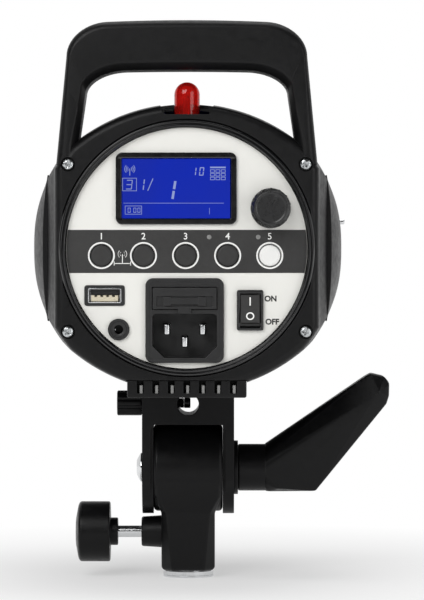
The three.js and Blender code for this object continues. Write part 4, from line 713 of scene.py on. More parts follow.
def make_lever():
    lever = Place("tilt_lever")
    face, radius = lever.left, lever.front
    run, rise = lever.right - face, lever.top - TILT_Z
    edge_half, ridge_half, barrel_end, arm_start = 4.6, 8.2, face + 11.4, face + 10.8
    # The arm's outline and its ridge, in shares of its run and rise
    outline = [
        (0.2, -0.247), (0.2, 0.232), (0.842, 0.967), (0.878, 1.0), (0.965, 0.967), (1.0, 0.898),
        (0.998, 0.76), (0.981, 0.675), (0.513, -0.243),
    ]
    ridge = [(0.26, -0.21), (0.435, 0.123), (0.869, 0.675), (0.93, 0.8), (0.26, 0.2)]
    edge = [(face + run * a, TILT_Z + rise * b) for a, b in outline]
    edge = filleted(edge, [0, 0, 3, 2, 3, 3, 4, 3, 1.5])
    points = [(x, s * edge_half, z) for x, z in edge for s in (-1, 1)]
    points += [(face + run * a, s * ridge_half, TILT_Z + rise * b) for a, b in ridge for s in (-1, 1)]
    points += [(arm_start, y, z + TILT_Z) for y, z in circle((0, 0), radius - 0.02, 96)]
    arm = rounded(hull("arm", points), 0.8, 3, 22)
    profile = [(0, face), (radius, face), (radius, barrel_end), (0, barrel_end)]
    barrel = turned("barrel", profile, [0, 0.7, 0.5, 0], "x", TILT, 128)
    bore = rod("bore", 7.3, "x", face - PAST, face + 10.3, TILT)
    return cut(rounded(joined(barrel, arm), 0.4, 2, 35), bore)


def make_umbrella_knob():
    knob = Place("umbrella_knob")
    body = rod("knob", knob.front, "x", *knob.across, UMBRELLA, 0.6, 144)
    grooves = flutes(10, 0.5, 1.1, knob.front + 0.55, "x", *wider(knob.across, PAST), UMBRELLA)
    body = rounded(cut(body, *grooves), 0.2, 2, 30)
    return cut(body, rod("socket", UMBRELLA_HOLE, "x", knob.x, knob.right + 1, UMBRELLA))


def make_thread(start, end, radius=2.1, depth=0.22, pitch=0.8, sides=32):
    """The umbrella screw's body, whose radius rises and falls round a helix."""
    count = max(8, int((end - start) / pitch * 8))
    rings = []
    for k in range(count + 1):
        x = start + (end - start) * k / count
        ring = []
        for i in range(sides):
            t = 2 * PI * i / sides
            r = radius - depth * abs(2 * ((x / pitch + i / sides) % 1) - 1)
            ring.append((x, r * math.cos(t), UMBRELLA[2] + r * math.sin(t)))
        rings.append(ring)
    return loft("thread", rings)


def make_yoke_group():
    dressed(make_yoke(), "yoke_casting", CASTING, ["yoke"])
    dressed(make_bolt(), "tilt_pivot_bolt", STEEL, ["tilt_bolt"])
    cover = Place("lever_washer")
    plate = washer("plate", cover.front, BOLT_HOLE, "x", *wider(cover.across, 0.26), TILT, 0.2, 128)
    dressed(plate, "lever_cover_plate", KNOB, ["lever_washer"])
    dressed(make_lever(), "locking_lever", KNOB, ["tilt_lever"], "tilt_lever")
    dressed(make_umbrella_knob(), "umbrella_hand_knob", KNOB, ["umbrella_knob"], "umbrella_knob")
    thread = make_thread(*Place("umbrella_screw").across)
    dressed(thread, "umbrella_thread", BLACK_STEEL, ["umbrella_screw"], "umbrella_knob")
    pad = Place("umbrella_pad")
    tip = rod("pad", 2.1, "x", pad.left - 0.25, pad.right, UMBRELLA, 0.4, 48)
    dressed(tip, "umbrella_tip", BLACK_STEEL, ["umbrella_pad"], "umbrella_pad")


# Barrel sections, looking along Y


def barrel_section(section, corner_steps=10, crown_steps=24, side_steps=12):
    """The outline of a section: its height, its crown's and corners' radii, and its half width."""
    height, crown, corner, side = section
    drop = height - crown
    sine = (corner ** 2 + drop ** 2 - crown ** 2) / (2 * corner * drop)
    corner_end = math.asin(min(1, max(-1, sine)))
    side_end = min(math.acos(min(1, side / corner)), corner_end)
    quarter = [(min(side, x), z) for x, z in arc((0, 0), corner, side_end, corner_end, corner_steps)]
    crown_turn = math.asin(min(1, corner * math.cos(corner_end) / crown))
    for i in range(1, crown_steps + 1):
        t = crown_turn * (1 - i / crown_steps)
        quarter.append((crown * math.sin(t), drop + crown * math.cos(t)))
    half = both_sides(quarter)
    x, z = half[-1]
    half += [(x, z - 2 * z * k / side_steps) for k in range(1, side_steps)]
    return half + [(-x, -z) for x, z in half]


def grown(section, by):
    return tuple(v + by for v in section)


def between(first, second, share):
    return tuple(a + (b - a) * share for a, b in zip(first, second))


def ring_at(section, along):
    return [(x, along, z + LAMP_Z) for x, z in barrel_section(section)]


COVER_EDGE = 0.5
FACE = (FRAME_BORE + 6.0, FRAME_BORE + 20.0, FRAME_BORE + 10.0, FRAME_BORE + 1.4)
SHELL = (FACE[0] + 0.5, FACE[1] + 1.5, FACE[2] + 1.5, FACE[3] + 2.9)
BACK = (*SHELL[:3], SHELL[3] + COVER_EDGE + GAP)
# Where the recess round the lens ends below
RECESS_FLOOR = LAMP_Z + FRAME_BORE + 1.9
FOOT_NOTCH_TOP = LAMP_Z - FRAME_BORE - 1.3


# Rear frame with its handle


def circle_at(radius, along):
    """A round ring whose points lie at the same angles as those of the frame's outline."""
    ring = []
    for x, z in barrel_section(FACE):
        reach = math.hypot(x, z)
        ring.append((radius * x / reach, along, LAMP_Z + radius * z / reach))
    return ring


def make_rim():
    """The rim's rings, from its bore over the face to its back, and inwards to the panel's ledge."""
    round_in, round_back, round_steps, back_edge = 3.2, 3.6, 8, 0.4
    half_depth = (FRAME_END - REAR) / 2
    middle, inside = grown(FACE, 0.6), grown(SHELL, -2.7)
    ledge, ledge_bore = PANEL_BACK + GAP, PANEL_RADIUS - 1.5
    ledge_end = ledge + 3.7
    rings = [circle_at(FRAME_BORE, REAR + 0.5), circle_at(FRAME_BORE + 0.15, REAR + 0.12),
             circle_at(FRAME_BORE + 0.5, REAR)]
    for k in range(round_steps + 1):
        t = PI / 2 * k / round_steps
        rounding = grown(FACE, -round_in * (1 - math.sin(t)))
        rings.append(ring_at(rounding, REAR + round_back * (1 - math.cos(t))))
    for share in (0.25, 0.5, 0.75, 1):
        along = REAR + round_back + (half_depth - round_back) * share
        rings.append(ring_at(between(FACE, middle, share), along))
    for k in range(1, 7):
        along = REAR + half_depth + (half_depth - back_edge) * (k / 6)
        rings.append(ring_at(between(middle, BACK, k / 6), along))
    rings += [
        ring_at(grown(BACK, -back_edge), FRAME_END), ring_at(inside, FRAME_END), ring_at(inside, ledge_end),
        circle_at(ledge_bore, ledge_end), circle_at(ledge_bore, ledge), circle_at(FRAME_BORE, ledge),
    ]
    return loft("rim", rings, cyclic=True)


def make_handle():
    top, foot, shoulder = FACE[0] + 32.7, abs(SCREWS[0].z - LAMP_Z), FACE[3] - 4.6
    leg, grip, run, drop, bow = 7.4, 19.3, 16.0, 13.0, 1.5
    leg_steps, corner_steps, grip_steps = 8, 14, 10

    def line(foot_x, x, low, drop):
        """The line from the foot up the leg, round the corner, and over the grip to the other side."""
        flat = x - run
        points = [(foot_x + (x - foot_x) * k / leg_steps, foot + (low - foot) * k / leg_steps)
                  for k in range(leg_steps)]
        points += arc((flat, low), (run, drop), 0, PI / 2, corner_steps)
        points += [(flat * (1 - k / grip_steps), low + drop) for k in range(1, grip_steps + 1)]
        # The grip bows: it drops a little towards its corners
        return [(x, z - bow * (x / shoulder) ** 2 * max(0, (z - foot) / (top - foot)))
                for x, z in both_sides(points)]

    foot_outer, inner_drop = FACE[3] - 0.6, drop * 0.7
    outer = line(foot_outer, shoulder, top - drop, drop)
    inner = line(foot_outer - leg, shoulder - leg, top - grip - inner_drop, inner_drop)
    depth = FRAME_END - REAR
    # Places round the section: how far in from the inner or outer edge, and how far forward
    near_inner = [(0.6, depth), (0.15, depth - 0.3), (0.0, depth - 0.9), (0.0, 4.6), (0.25, 3.6),
                  (2.6, 0.55), (3.6, 0.0)]
    near_outer = [(-3.2, 0.0), (-1.9, 0.35), (-0.75, 1.3), (-0.15, 2.6), (0.0, 4.0), (0.0, depth - 2.5),
                  (-0.35, depth - 1.2), (-1.2, depth - 0.35), (-2.4, depth)]
    rings = []
    for (ox, oz), (ix, iz) in zip(outer, inner):
        across = Vector((ox - ix, 0, oz - iz))
        unit = across / across.length
        squeeze = min(1.0, across.length / 8.5)
        ring = [Vector((ix, REAR + y, iz + LAMP_Z)) + unit * (a * squeeze) for a, y in near_inner]
        ring += [Vector((ox, REAR + y, oz + LAMP_Z)) + unit * (a * squeeze) for a, y in near_outer]
        rings.append(ring)
    return loft("handle", rings)


def make_rear_frame():
    body = joined(make_rim(), make_handle())
    floor, well_floor = LAMP_Z + FACE[0] - 1.6, RECESS_FLOOR - 0.6
    notch = block("notch", around(0, 10.5), (REAR + 2.5, FRAME_END - 2.5), (floor, floor + 6))
    # The rim dips in front of the lens, and the recess behind the dip goes down to the lens's foot
    dip = [(-12.0, floor + 4), (-9.4, RECESS_FLOOR), (9.4, RECESS_FLOOR), (12.0, floor + 4)]
    mouth = prism("mouth", [filleted(dip, [0, 2, 2, 0])], "y", REAR - 1, REAR + 3.2)
    gutter = block("gutter", around(0, 8.8), (REAR + 1.8, REAR + 12), (well_floor, floor + 1))
    well = rod("well", 5.35, "z", well_floor, floor + 1, (0, Place("slave_dome").y, 0))
    half_foot = Place("foot_plate").right + GAP
    foot = block("foot", around(0, half_foot), (REAR - PAST, FRAME_END + PAST), (0, FOOT_NOTCH_TOP))
    holes = []
    for screw in SCREWS:
        place = (screw.x, 0, screw.z)
        holes.append(rod("sink", 2.9, "y", REAR - PAST, REAR + 2.4, place, steps=48))
        holes.append(rod("hole", SCREW_HOLE, "y", REAR, FRAME_END + PAST, place, steps=32))
    body = cut(body, rounded(notch, 1.2, 3, 40), mouth, joined(gutter, well), foot, *holes)
    return rounded(body, 0.25, 2, 38)


def make_screw(screw, turn):
    face, end = screw.along
    head, shank, head_end = 2.2, 1.4, face + 1.8
    place = (screw.x, 0, screw.z)
    profile = [(0, face), (1.3, face + 0.02), (head, face + 0.55), (head, head_end), (shank, head_end),
               (shank, end - 1), (0.5, end), (0, end)]
    body = turned("screw", profile, [0, 0.6, 0.25, 0.2, 0, 0, 0, 0], "y", place, 64)
    wings = []
    for quarter in (0, 90):
        wing = block("wing", around(screw.x, 1.55), (face - 1, face + 1.1), around(screw.z, 0.42))
        wings.append(turned_about(wing, turn + quarter, "Y", place))
    return rounded(cut(body, *wings), 0.08, 2, 40)


def make_dome():
    """The hollow red lens on top, open at its foot, and the sensor in it."""
    dome = Place("slave_dome")
    centre, base = (dome.x, dome.y, 0), RECESS_FLOOR - 0.4
    radius, wall, eye, foot = dome.right, 1.1, 1.5, 2.3
    middle = (0, dome.top - radius)
    profile = [(radius, base), *arc(middle, radius, 0, PI / 2, 20)[:-1], (0, dome.top), (0, dome.top - wall),
               *arc(middle, radius - wall, PI / 2, 0, 20)[1:], (radius - wall, base)]
    dressed(revolved("lens", profile, "z", centre), "slave_lens", RED, ["slave_dome"])
    step = base + 0.8
    profile = [(0, base), (foot, base), (foot, step), (eye, step), (eye, base + 7.2), (0, base + 8.4)]
    sensor = turned("eye", profile, [0, 0.2, 0.2, 0, 0.9, 0], "z", centre, 48)
    dressed(sensor, "slave_sensor", WHITE)


def make_frame_group():
    dressed(make_rear_frame(), "rear_frame_handle", HOUSING, ["rear_frame"], sharp=40)
    for i, (screw, turn) in enumerate(zip(SCREWS, (18, -31, 44, 5)), start=1):
        dressed(make_screw(screw, turn), f"panel_screw_{i}", ZINC, [f"frame_screw_{i}"])
    make_dome()


# Barrel: half shells, side covers, foot plate


def make_half_shell(side):
    wall, seam, half, boss_end, hole_end = 2.4, 0.15, SHELL[3], -47.6, -49.7

    def turn(point):
        return math.atan2(point[1], point[0])

    outside = sorted([p for p in barrel_section(SHELL) if p[1] > seam], key=turn)
    inside = sorted([p for p in barrel_section(grown(SHELL, -wall)) if p[1] > seam], key=turn, reverse=True)
    loop = [(half, seam), *outside, (-half, seam), (wall - half, seam), *inside, (half - wall, seam)]
    shell = loft("shell", [[(x, y, z * side + LAMP_Z) for x, z in loop] for y in (SHELL_START, SHELL_END)])
    window_up = sorted((LAMP_Z + 2.4 * side, LAMP_Z + 19.0 * side))
    shell = cut(shell, block("window", around(0, 120), (SHELL_START + 9.5, SHELL_END - 9.5), window_up))
    holes = []
    for screw in SCREWS:
        if (screw.z - LAMP_Z) * side > 0:
            place = (screw.x, 0, screw.z)
            shell = joined(shell, rod("boss", 4.2, "y", SHELL_START, boss_end, place, steps=48))
            holes.append(rod("hole", SCREW_HOLE, "y", SHELL_START - PAST, hole_end, place, steps=32))
    # The bosses' outer parts are trimmed to the barrel's own outline
    outline = loft("outline", [ring_at(SHELL, y) for y in (SHELL_START - PAST, SHELL_END + PAST)])
    shell = combined(shell, [outline], "INTERSECT")
    return rounded(cut(shell, *holes), 0.25, 2, 40)


COVER_BASE = SHELL[3] + GAP
COVER_HALF = math.sqrt(SHELL[2] ** 2 - SHELL[3] ** 2)


def cover_ring(along, edge, bulge, half_height, base, steps=36):
    """A section of a side cover, whose outside swells most at the middle of its height."""
    points = []
    for i in range(steps + 1):
        z = half_height * (2 * i / steps - 1)
        points.append((COVER_BASE + edge + bulge * (1 - abs(z / COVER_HALF) ** 2.5), along, z + LAMP_Z))
    return points + [(base, along, half_height + LAMP_Z), (base, along, -half_height + LAMP_Z)]


def make_side_cover(side):
    proud, wall, swell, rear_inset, nose_inset = 7.38, 2.4, 33.0, 5.0, 2.0
    slot_pitch, slot_half_width, slot_half_height = 7.0, 1.2, 14
    bulge = proud - COVER_EDGE
    stops = []
    for share in [k / 12 for k in range(13)]:
        stops.append((SHELL_START + swell * share, bulge - rear_inset * (1 - share) ** 2.2))
    for share in [k / 8 for k in range(9)]:
        stops.append((SHELL_END - swell * (1 - share), bulge - nose_inset * share ** 2))
    body = loft("cover", [cover_ring(y, COVER_EDGE, b, COVER_HALF, COVER_BASE) for y, b in stops])
    hollow = loft("hollow", [cover_ring(y, COVER_EDGE - wall, bulge, COVER_HALF - 2 * wall, COVER_BASE - PAST)
                             for y in (SHELL_START + swell, SHELL_END - swell)])
    slots = []
    for i in range(9):
        y = (SHELL_START + SHELL_END) / 2 + (i - 4) * slot_pitch
        low, high = zip(around(y, slot_half_width), around(LAMP_Z, slot_half_height))
        outline = rectangle(low, high, 1.15, 5)
        slots.append(prism("slot", [outline], "x", 20, 90))
    body = cut(rounded(body, 0.9, 3, 35), hollow, merged("slots", slots))
    body = rounded(body, 0.2, 2, 40)
    return body if side > 0 else cleaned(moved(body, Matrix.Scale(-1, 4, (1, 0, 0))))


FOOT_PITCH, FOOT_COUNT = 6.05, 7
FOOT_SLOTS = [(i - (FOOT_COUNT - 1) / 2) * FOOT_PITCH for i in range(FOOT_COUNT)]


def make_foot():
    foot = Place("foot_plate")
    plate = rounded(block("foot", foot.across, foot.along, (foot.bottom, LAMP_Z - 30)), 0.8, 3, 40)
    barrel = loft("barrel", [ring_at(grown(SHELL, GAP), y) for y in (FRAME_END, foot.front + PAST)])
    above = block("above", wider(foot.across, PAST), (foot.rear - PAST, FRAME_END + 0.1),
                  (FOOT_NOTCH_TOP - GAP, LAMP_Z))
    slots = []
    for x in FOOT_SLOTS:
        outline = rectangle((x - 1.35, foot.bottom + 1.7), (x + 1.35, LAMP_Z - 40), 0.35, 3)
        slots.append(prism("slot", [outline], "y", foot.rear - PAST, foot.rear + 8))
    return rounded(cut(plate, barrel, above, merged("slots", slots)), 0.2, 2, 40)


def make_foot_ribs():
    """Light grey bars that stand in the foot's slots, below the frame's edge: painted highlights for the glints
    inside the slots.
    """
    foot = Place("foot_plate")
    depth, height = (foot.rear + 0.5, foot.rear + 7.9), (foot.bottom + 1.5, foot.bottom + 4.9)
    return merged("slot_glints", [block("glint_bar", (x - 0.25, x + 0.95), depth, height, 0.25) for x in FOOT_SLOTS])


def make_barrel_group():
    dressed(make_half_shell(1), "upper_barrel_half", HOUSING, ["top_shell"])
    dressed(make_half_shell(-1), "lower_barrel_half", HOUSING, ["bottom_shell"])
    dressed(make_side_cover(1), "right_cheek_cover", HOUSING, ["right_side_cover"], sharp=35)
    dressed(make_side_cover(-1), "left_cheek_cover", HOUSING, ["left_side_cover"], sharp=35)
    dressed(make_foot(), "slotted_foot", HOUSING, ["foot_plate"])
    # The light grey bars in the foot's slots are painted glints
    dressed(make_foot_ribs(), "foot_slot_glints", GREY)


# Rear panel and what is printed on it


def make_ring():
    """The black ring round the panel, with a groove in its face."""
    ring = Place("retaining_ring")
    face, back, inner = ring.rear, ring.front, PANEL_RADIUS + GAP
    width, groove = ring.right - inner, face + 0.55
    profile = [
        (inner, face + 0.5), (inner + 0.15 * width, face), (inner + 0.40 * width, face),
        (inner + 0.47 * width, groove), (inner + 0.53 * width, groove), (inner + 0.60 * width, face),
        (inner + 0.85 * width, face), (ring.right, face + 0.6), (ring.right, back), (inner, back),
    ]
    radii = [0.25, 0.3, 0.2, 0.15, 0.15, 0.2, 0.35, 0.3, 0, 0]
    return turned("ring", profile, radii, "y", LAMP, 256, closed=True)


def inlet_outline(x, half, bottom, top, chamfer=4.6):
    """A box in X and Z whose lower corners are cut off."""
    return [(x - half + chamfer, bottom), (x + half - chamfer, bottom), (x + half, bottom + chamfer),
            (x + half, top), (x - half, top), (x - half, bottom + chamfer)]


def make_panel():
    knob, jack, inlet = Place("set_knob"), Place("sync_jack"), Place("inlet_housing")
    button_hole, knob_hole, jack_hole, inlet_half = 4.4, 3.3, 3.5, 13.8
    holes = [circle((button.x, button.z), button_hole) for button in BUTTONS]
    holes += [
        Place("lcd_module").outline(-GAP), circle((knob.x, knob.z), knob_hole), Place("usb_shell").outline(GAP),
        circle((jack.x, jack.z), jack_hole), Place("rocker_housing").outline(-GAP),
        inlet_outline(inlet.x, inlet_half, inlet.bottom + 0.8, inlet.top - 2.4),
    ]
    disc = circle((0, LAMP_Z), PANEL_RADIUS, 256)
    return prism("panel", [disc] + [hole[::-1] for hole in holes], "y", PANEL_FACE, PANEL_BACK, 0.1, 1)


BAND_LOW, BAND_HIGH, FILM = -9.7, 7.1, 0.12
FILM_FACE = PANEL_FACE - FILM


def make_band():
    """The dark band across the panel, with a hole for each button."""
    reach = PANEL_RADIUS - 0.15
    low, high = math.asin(BAND_LOW / reach), math.asin(BAND_HIGH / reach)
    outline = arc((0, LAMP_Z), reach, low, high, 16) + arc((0, LAMP_Z), reach, PI - high, PI - low, 16)
    holes = [circle((button.x, button.z), 4.45)[::-1] for button in BUTTONS]
    return prism("band", [outline, *holes], "y", FILM_FACE, PANEL_FACE, 0.02)


def stroke(points, width, closed=False):
    """The outline quads of a flat line of one width through points."""
    quads = []
    ends = points[1:] + points[:1] if closed else points[1:]
    for start, end in zip(points, ends):
        a, b = Vector(start), Vector(end)
        along = (b - a).normalized() * (width / 2)
        side = Vector((-along.y, along.x))
        a, b = a - along * 0.5, b + along * 0.5
        quads.append([tuple(a - side), tuple(b - side), tuple(b + side), tuple(a + side)])
    return quads


def waves(x, z, radii, half_turn, width):
    """Arcs on both sides of a point."""
    quads = []
    for radius in radii:
        for start in (-half_turn, PI - half_turn):
            quads += stroke(arc((x, z), radius, start, start + 2 * half_turn, 8), width)
    return quads


def ink(name, quads, front, back):
    """Flat quads in X and Z, given a thickness along Y."""
    verts, faces = [], []
    for quad in quads:
        base, n = len(verts), len(quad)
        verts += [(x, y, z) for y in (front, back) for x, z in quad]
        faces.append([base + i for i in range(n)])
        faces.append([base + n + i for i in reversed(range(n))])
        for i in range(n):
            j = (i + 1) % n
            faces.append([base + i, base + n + i, base + n + j, base + j])
    return new_object(name, verts, faces, merge=0)


def ring_loop(name, centre, outer, inner, front, back):
    return prism(name, [circle(centre, outer, 96), circle(centre, inner, 96)[::-1]], "y", front, back)


def lettering(name, words, place, size, front, bold=0.03, thickness=0.06):
    """Plain letters or numbers, centred on a place in X and Z, read from behind the lamp."""
    font = bpy.data.curves.new(name, "FONT")
    font.body = words
    font.size = size
    font.align_x = "CENTER"
    font.align_y = "CENTER"
    font.extrude = thickness / 2
    font.offset = bold
    font.resolution_u = 6
    return solid_of(name, font, lambda u, v, w: (u + place[0], front + thickness / 2 - w, v + place[1]))


def make_prints():
    """The marks on the band, the switch's words, and the two small lights."""
    front = FILM_FACE - 0.05
    prints = [ring_loop("ring", (button.x, button.z), 5.25, 4.62, front, FILM_FACE) for button in BUTTONS]
    for number, button in enumerate(BUTTONS, start=1):
        prints.append(lettering("number", str(number), (button.x, LAMP_Z + 4.5), 3.6, front))
    # Between the first two buttons: a bar with upright ends, and a mast with waves
    x, z = (BUTTONS[0].x + BUTTONS[1].x) / 2, BUTTONS[0].z
    half, foot = 3.2, z - 3.1
    marks = stroke([(x - half, foot), (x + half, foot)], 0.3) + stroke([(x, foot), (x, z + 0.4)], 0.3)
    for end in (x - half, x + half):
        marks += stroke([(end, z - 3.8), (end, z - 2.4)], 0.3)
    marks += waves(x, z + 0.6, (0.9, 1.7), 0.8, 0.28)
    prints.append(ink("marks", marks, front, FILM_FACE))
    dressed(merged("rings", prints), "printed_marks", INK)
    switch = Place("rocker_housing")
    words = [lettering(word, word, (switch.x + right, switch.z + up), 3.0, PANEL_FACE - 0.05, bold=0.12)
             for word, right, up in (("ON", 8.0, 4.4), ("OFF", 8.6, -4.6))]
    dressed(merged("words", words), "switch_words", DARK_INK)
    cap = [(0, PANEL_FACE - 0.45), (0.9, PANEL_FACE - 0.2), (0.9, PANEL_FACE), (0, PANEL_FACE)]
    lights = [turned("light", cap, [0, 0.4, 0, 0], "y", (x, 0, LAMP_Z + 4.3), 32) for x in (8.7, 27.8)]
    dressed(merged("lights", lights), "status_lights", GREY)


# What is fitted to the panel


# The bars of a seven-bar figure, in shares of its width and height
BARS = {
    "a": ((0, 1), (1, 1)), "g": ((0, 0.5), (1, 0.5)), "d": ((0, 0), (1, 0)), "f": ((0, 0.58), (0, 0.95)),
    "b": ((1, 0.58), (1, 0.95)), "e": ((0, 0.05), (0, 0.42)), "c": ((1, 0.05), (1, 0.42)),
}
ZERO, ONE, THREE = "abcdef", "bc", "abcdg"


def figure(bars, x, z, width, height, line, slant=0.12):
    """A seven-bar figure whose lower left corner is at x and z."""
    quads = []
    for bar in bars:
        quads += stroke([(x + width * u + slant * height * v, z + height * v) for u, v in BARS[bar]], line)
    return quads


def frame_mark(x, z, width, height, line):
    return stroke(rectangle((x, z), (x + width, z + height)), line, closed=True)


def display_marks(z):
    """The display's figures and marks, at heights above the lamp's middle."""
    marks = figure(ONE, 2.3, z + 28.4, 1.0, 2.9, 0.36) + figure(ZERO, 4.9, z + 28.4, 1.4, 2.9, 0.36)
    # A mast with waves, and a framed figure with a fraction beside it
    marks += stroke([(-22.2, z + 28.3), (-22.2, z + 30.9)], 0.3)
    marks += waves(-22.2, z + 30.8, (0.8, 1.4, 2.0), 0.75, 0.24)
    marks += frame_mark(-25.0, z + 22.3, 5.4, 4.9, 0.22) + figure(THREE, -23.6, z + 23.0, 2.0, 3.4, 0.34)
    marks += figure(ONE, -18.6, z + 22.6, 1.6, 4.2, 0.42)
    marks += stroke([(-15.2, z + 22.4), (-13.2, z + 27.0)], 0.34)
    # The large figure, the line under it, and the bottom row
    marks += figure(ONE, -7.4, z + 19.0, 1.8, 7.2, 0.95, 0.16)
    marks += stroke([(-24.6, z + 17.5), (14.4, z + 17.5)], 0.16)
    marks += frame_mark(-24.0, z + 13.2, 6.4, 3.2, 0.2)
    for x in (-22.9, -20.7, -19.1):
        marks += figure(ZERO, x, z + 13.9, 0.9, 1.7, 0.22, 0.0)
    marks += stroke([(8.8, z + 13.2), (8.8, z + 15.6)], 0.14)
    # The grid at the top right, with a bar over it
    for row in range(3):
        for column in range(3):
            marks += frame_mark(9.2 + 2.1 * column, z + 26.6 + 1.45 * row, 1.55, 1.0, 0.22)
    return marks + stroke([(9.2, z + 31.4), (15.0, z + 31.4)], 0.6)


def make_display():
    surround, module = Place("lcd_bezel"), Place("lcd_module")
    loops = [surround.outline(0, 2.5, 8), module.outline(-0.3, 0.4)[::-1]]
    bezel = prism("bezel", loops, "y", *surround.along, 0.3, 3)
    dressed(bezel, "display_bezel", GLOSS, ["lcd_bezel"])
    slab = block("screen", wider(module.across, -0.6), module.along, wider(module.up, -0.6), 0.15)
    dressed(slab, "display_module", SCREEN, ["lcd_module"])
    marks = ink("marks", display_marks(LAMP_Z), module.rear - 0.03, module.rear + 0.05)
    dressed(marks, "display_marks", MARKS)


def make_buttons():
    lip, cap, flange, stem = PANEL_BACK + GAP, 4.1, 5.0, 2.0
    for number, button in enumerate(BUTTONS, start=1):
        front, end = button.along
        profile = [
            (0, front + 0.12), (2.4, front + 0.06), (3.3, front), (cap, front + 0.3), (cap, lip),
            (flange, lip), (flange, lip + 1), (stem, lip + 1), (stem, end), (0, end),
        ]
        radii = [0, 1, 0.5, 0.3, 0, 0.1, 0.1, 0, 0.2, 0]
        shape = turned("cap", profile, radii, "y", (button.x, 0, button.z))
        name = f"button_{number}"
        finish, slot = (WHITE, "white_button") if number == 5 else (BUTTON, "black_button")
        dressed(shape, f"push_{name}", finish, [name], name)


def make_set_knob():
    knob = Place("set_knob")
    face, base = knob.along
    radius, centre = knob.right - knob.x, (knob.x, 0, knob.z)
    profile = [(0, face + 0.25), (radius - 2.4, face + 0.25), (radius - 1.9, face), (radius - 1.4, face),
               (radius, face + 2.0), (radius, base), (0, base)]
    body = turned("knob", profile, [0, 0.3, 0.2, 0.6, 1.2, 0.4, 0], "y", centre, 168)
    grooves = flutes(14, 0, 1.6, radius + 0.75, "y", face - PAST, base - 1.2, centre, 0.6, 32)
    socket = rod("socket", 3.3, "y", base - 7, base + PAST, centre)
    pointer_up = (knob.z + 2.0, knob.z + radius - 2.9)
    pointer = block("pointer", around(knob.x, 0.35), (face - 0.5, face + 0.55), pointer_up)
    body = rounded(cut(body, socket, turned_about(pointer, 24, "Y", centre), *grooves), 0.22, 2, 35)
    dressed(body, "setting_knob", CONTROL, ["set_knob"], "set_knob")
    shaft = rod("shaft", 3.0, "y", *Place("set_shaft").along, centre, 0.3, 48)
    dressed(shaft, "setting_shaft", STEEL, ["set_shaft"], "set_shaft")


def make_usb():
    shell, tongue = Place("usb_shell"), Place("usb_tongue")
    front, end = tongue.along
    loops = [shell.outline(0, 0.7), shell.outline(-0.4, 0.4)[::-1]]
    sleeve = prism("sleeve", loops, "y", *shell.along, 0.1, 2)
    depth = (shell.front - 0.6, shell.front - 0.05)
    back = block("back", wider(shell.across, -0.2), depth, wider(shell.up, -0.2))
    dressed(joined(sleeve, back), "usb_sleeve", STEEL, ["usb_shell"])
    loops = [shell.outline(1.4, 1.1, grow_z=1.15), shell.outline(0.1, 0.75)[::-1]]
    surround = prism("surround", loops, "y", PANEL_FACE - 0.45, PANEL_FACE, 0.15, 2)
    dressed(surround, "usb_surround", SOCKET)
    body = block("tongue", tongue.across, tongue.along, (tongue.bottom - 0.1, tongue.top + 0.5), 0.25)
    contact_pitch = 2.3
    places = [shell.x + contact_pitch * k for k in (-1.5, -0.5, 0.5, 1.5)]
    up = (tongue.top - 0.15, tongue.top + 1)
    body = cut(body, *[block("notch", around(x, 0.55), (front - 1, front + 5), up) for x in places])
    dressed(body, "usb_contact_block", CREAM, ["usb_tongue"])
    # A dark block fills the cavity above the tongue: painted shade over its bright inside, and also the
    # insulator at the socket's back
    up = (tongue.top + 0.55, shell.top - 0.5)
    shade = block("shade", wider(tongue.across, 0.3), (front + 2.2, end - 1), up, 0.1)
    dressed(shade, "usb_insulator_and_painted_shade", SOCKET)
    up = (tongue.bottom - 0.12, tongue.bottom + 0.02)
    contacts = [block("contact", around(x, 0.5), (front + 0.9, end - 3), up) for x in places]
    dressed(merged("contacts", contacts), "usb_contacts", GOLD)
    up = (shell.z - 2.45, shell.z - 1.75)
    springs = [block("spring", around(shell.x + s * 2.9, 1.1), (front + 1, front + 6), up, 0.12)
               for s in (-1, 1)]
    dressed(merged("springs", springs), "usb_springs", STEEL)


def make_jack():
    jack = Place("sync_jack")
    front, back = jack.along
    radius, hole, lip, face = jack.right - jack.x, 1.8, 3.2, front + 0.3
    profile = [(hole, front + 0.2), (2.2, front), (3.0, front), (lip, face), (radius - 0.35, face),
               (radius, front + 0.7), (radius, FLANGE_BACK), (lip, FLANGE_BACK), (lip, back), (0, back),
               (0, back - 2.4), (hole, back - 2.4)]
    dressed(revolved("jack", profile, "y", (jack.x, 0, jack.z)), "sync_socket", SOCKET, ["sync_jack"])
    depth = (back - 7.5, back - 2.6)
    spring = block("spring", (jack.x - 1.7, jack.x - 1.25), depth, around(jack.z, 0.5), 0.1)
    dressed(spring, "sync_contact", STEEL)


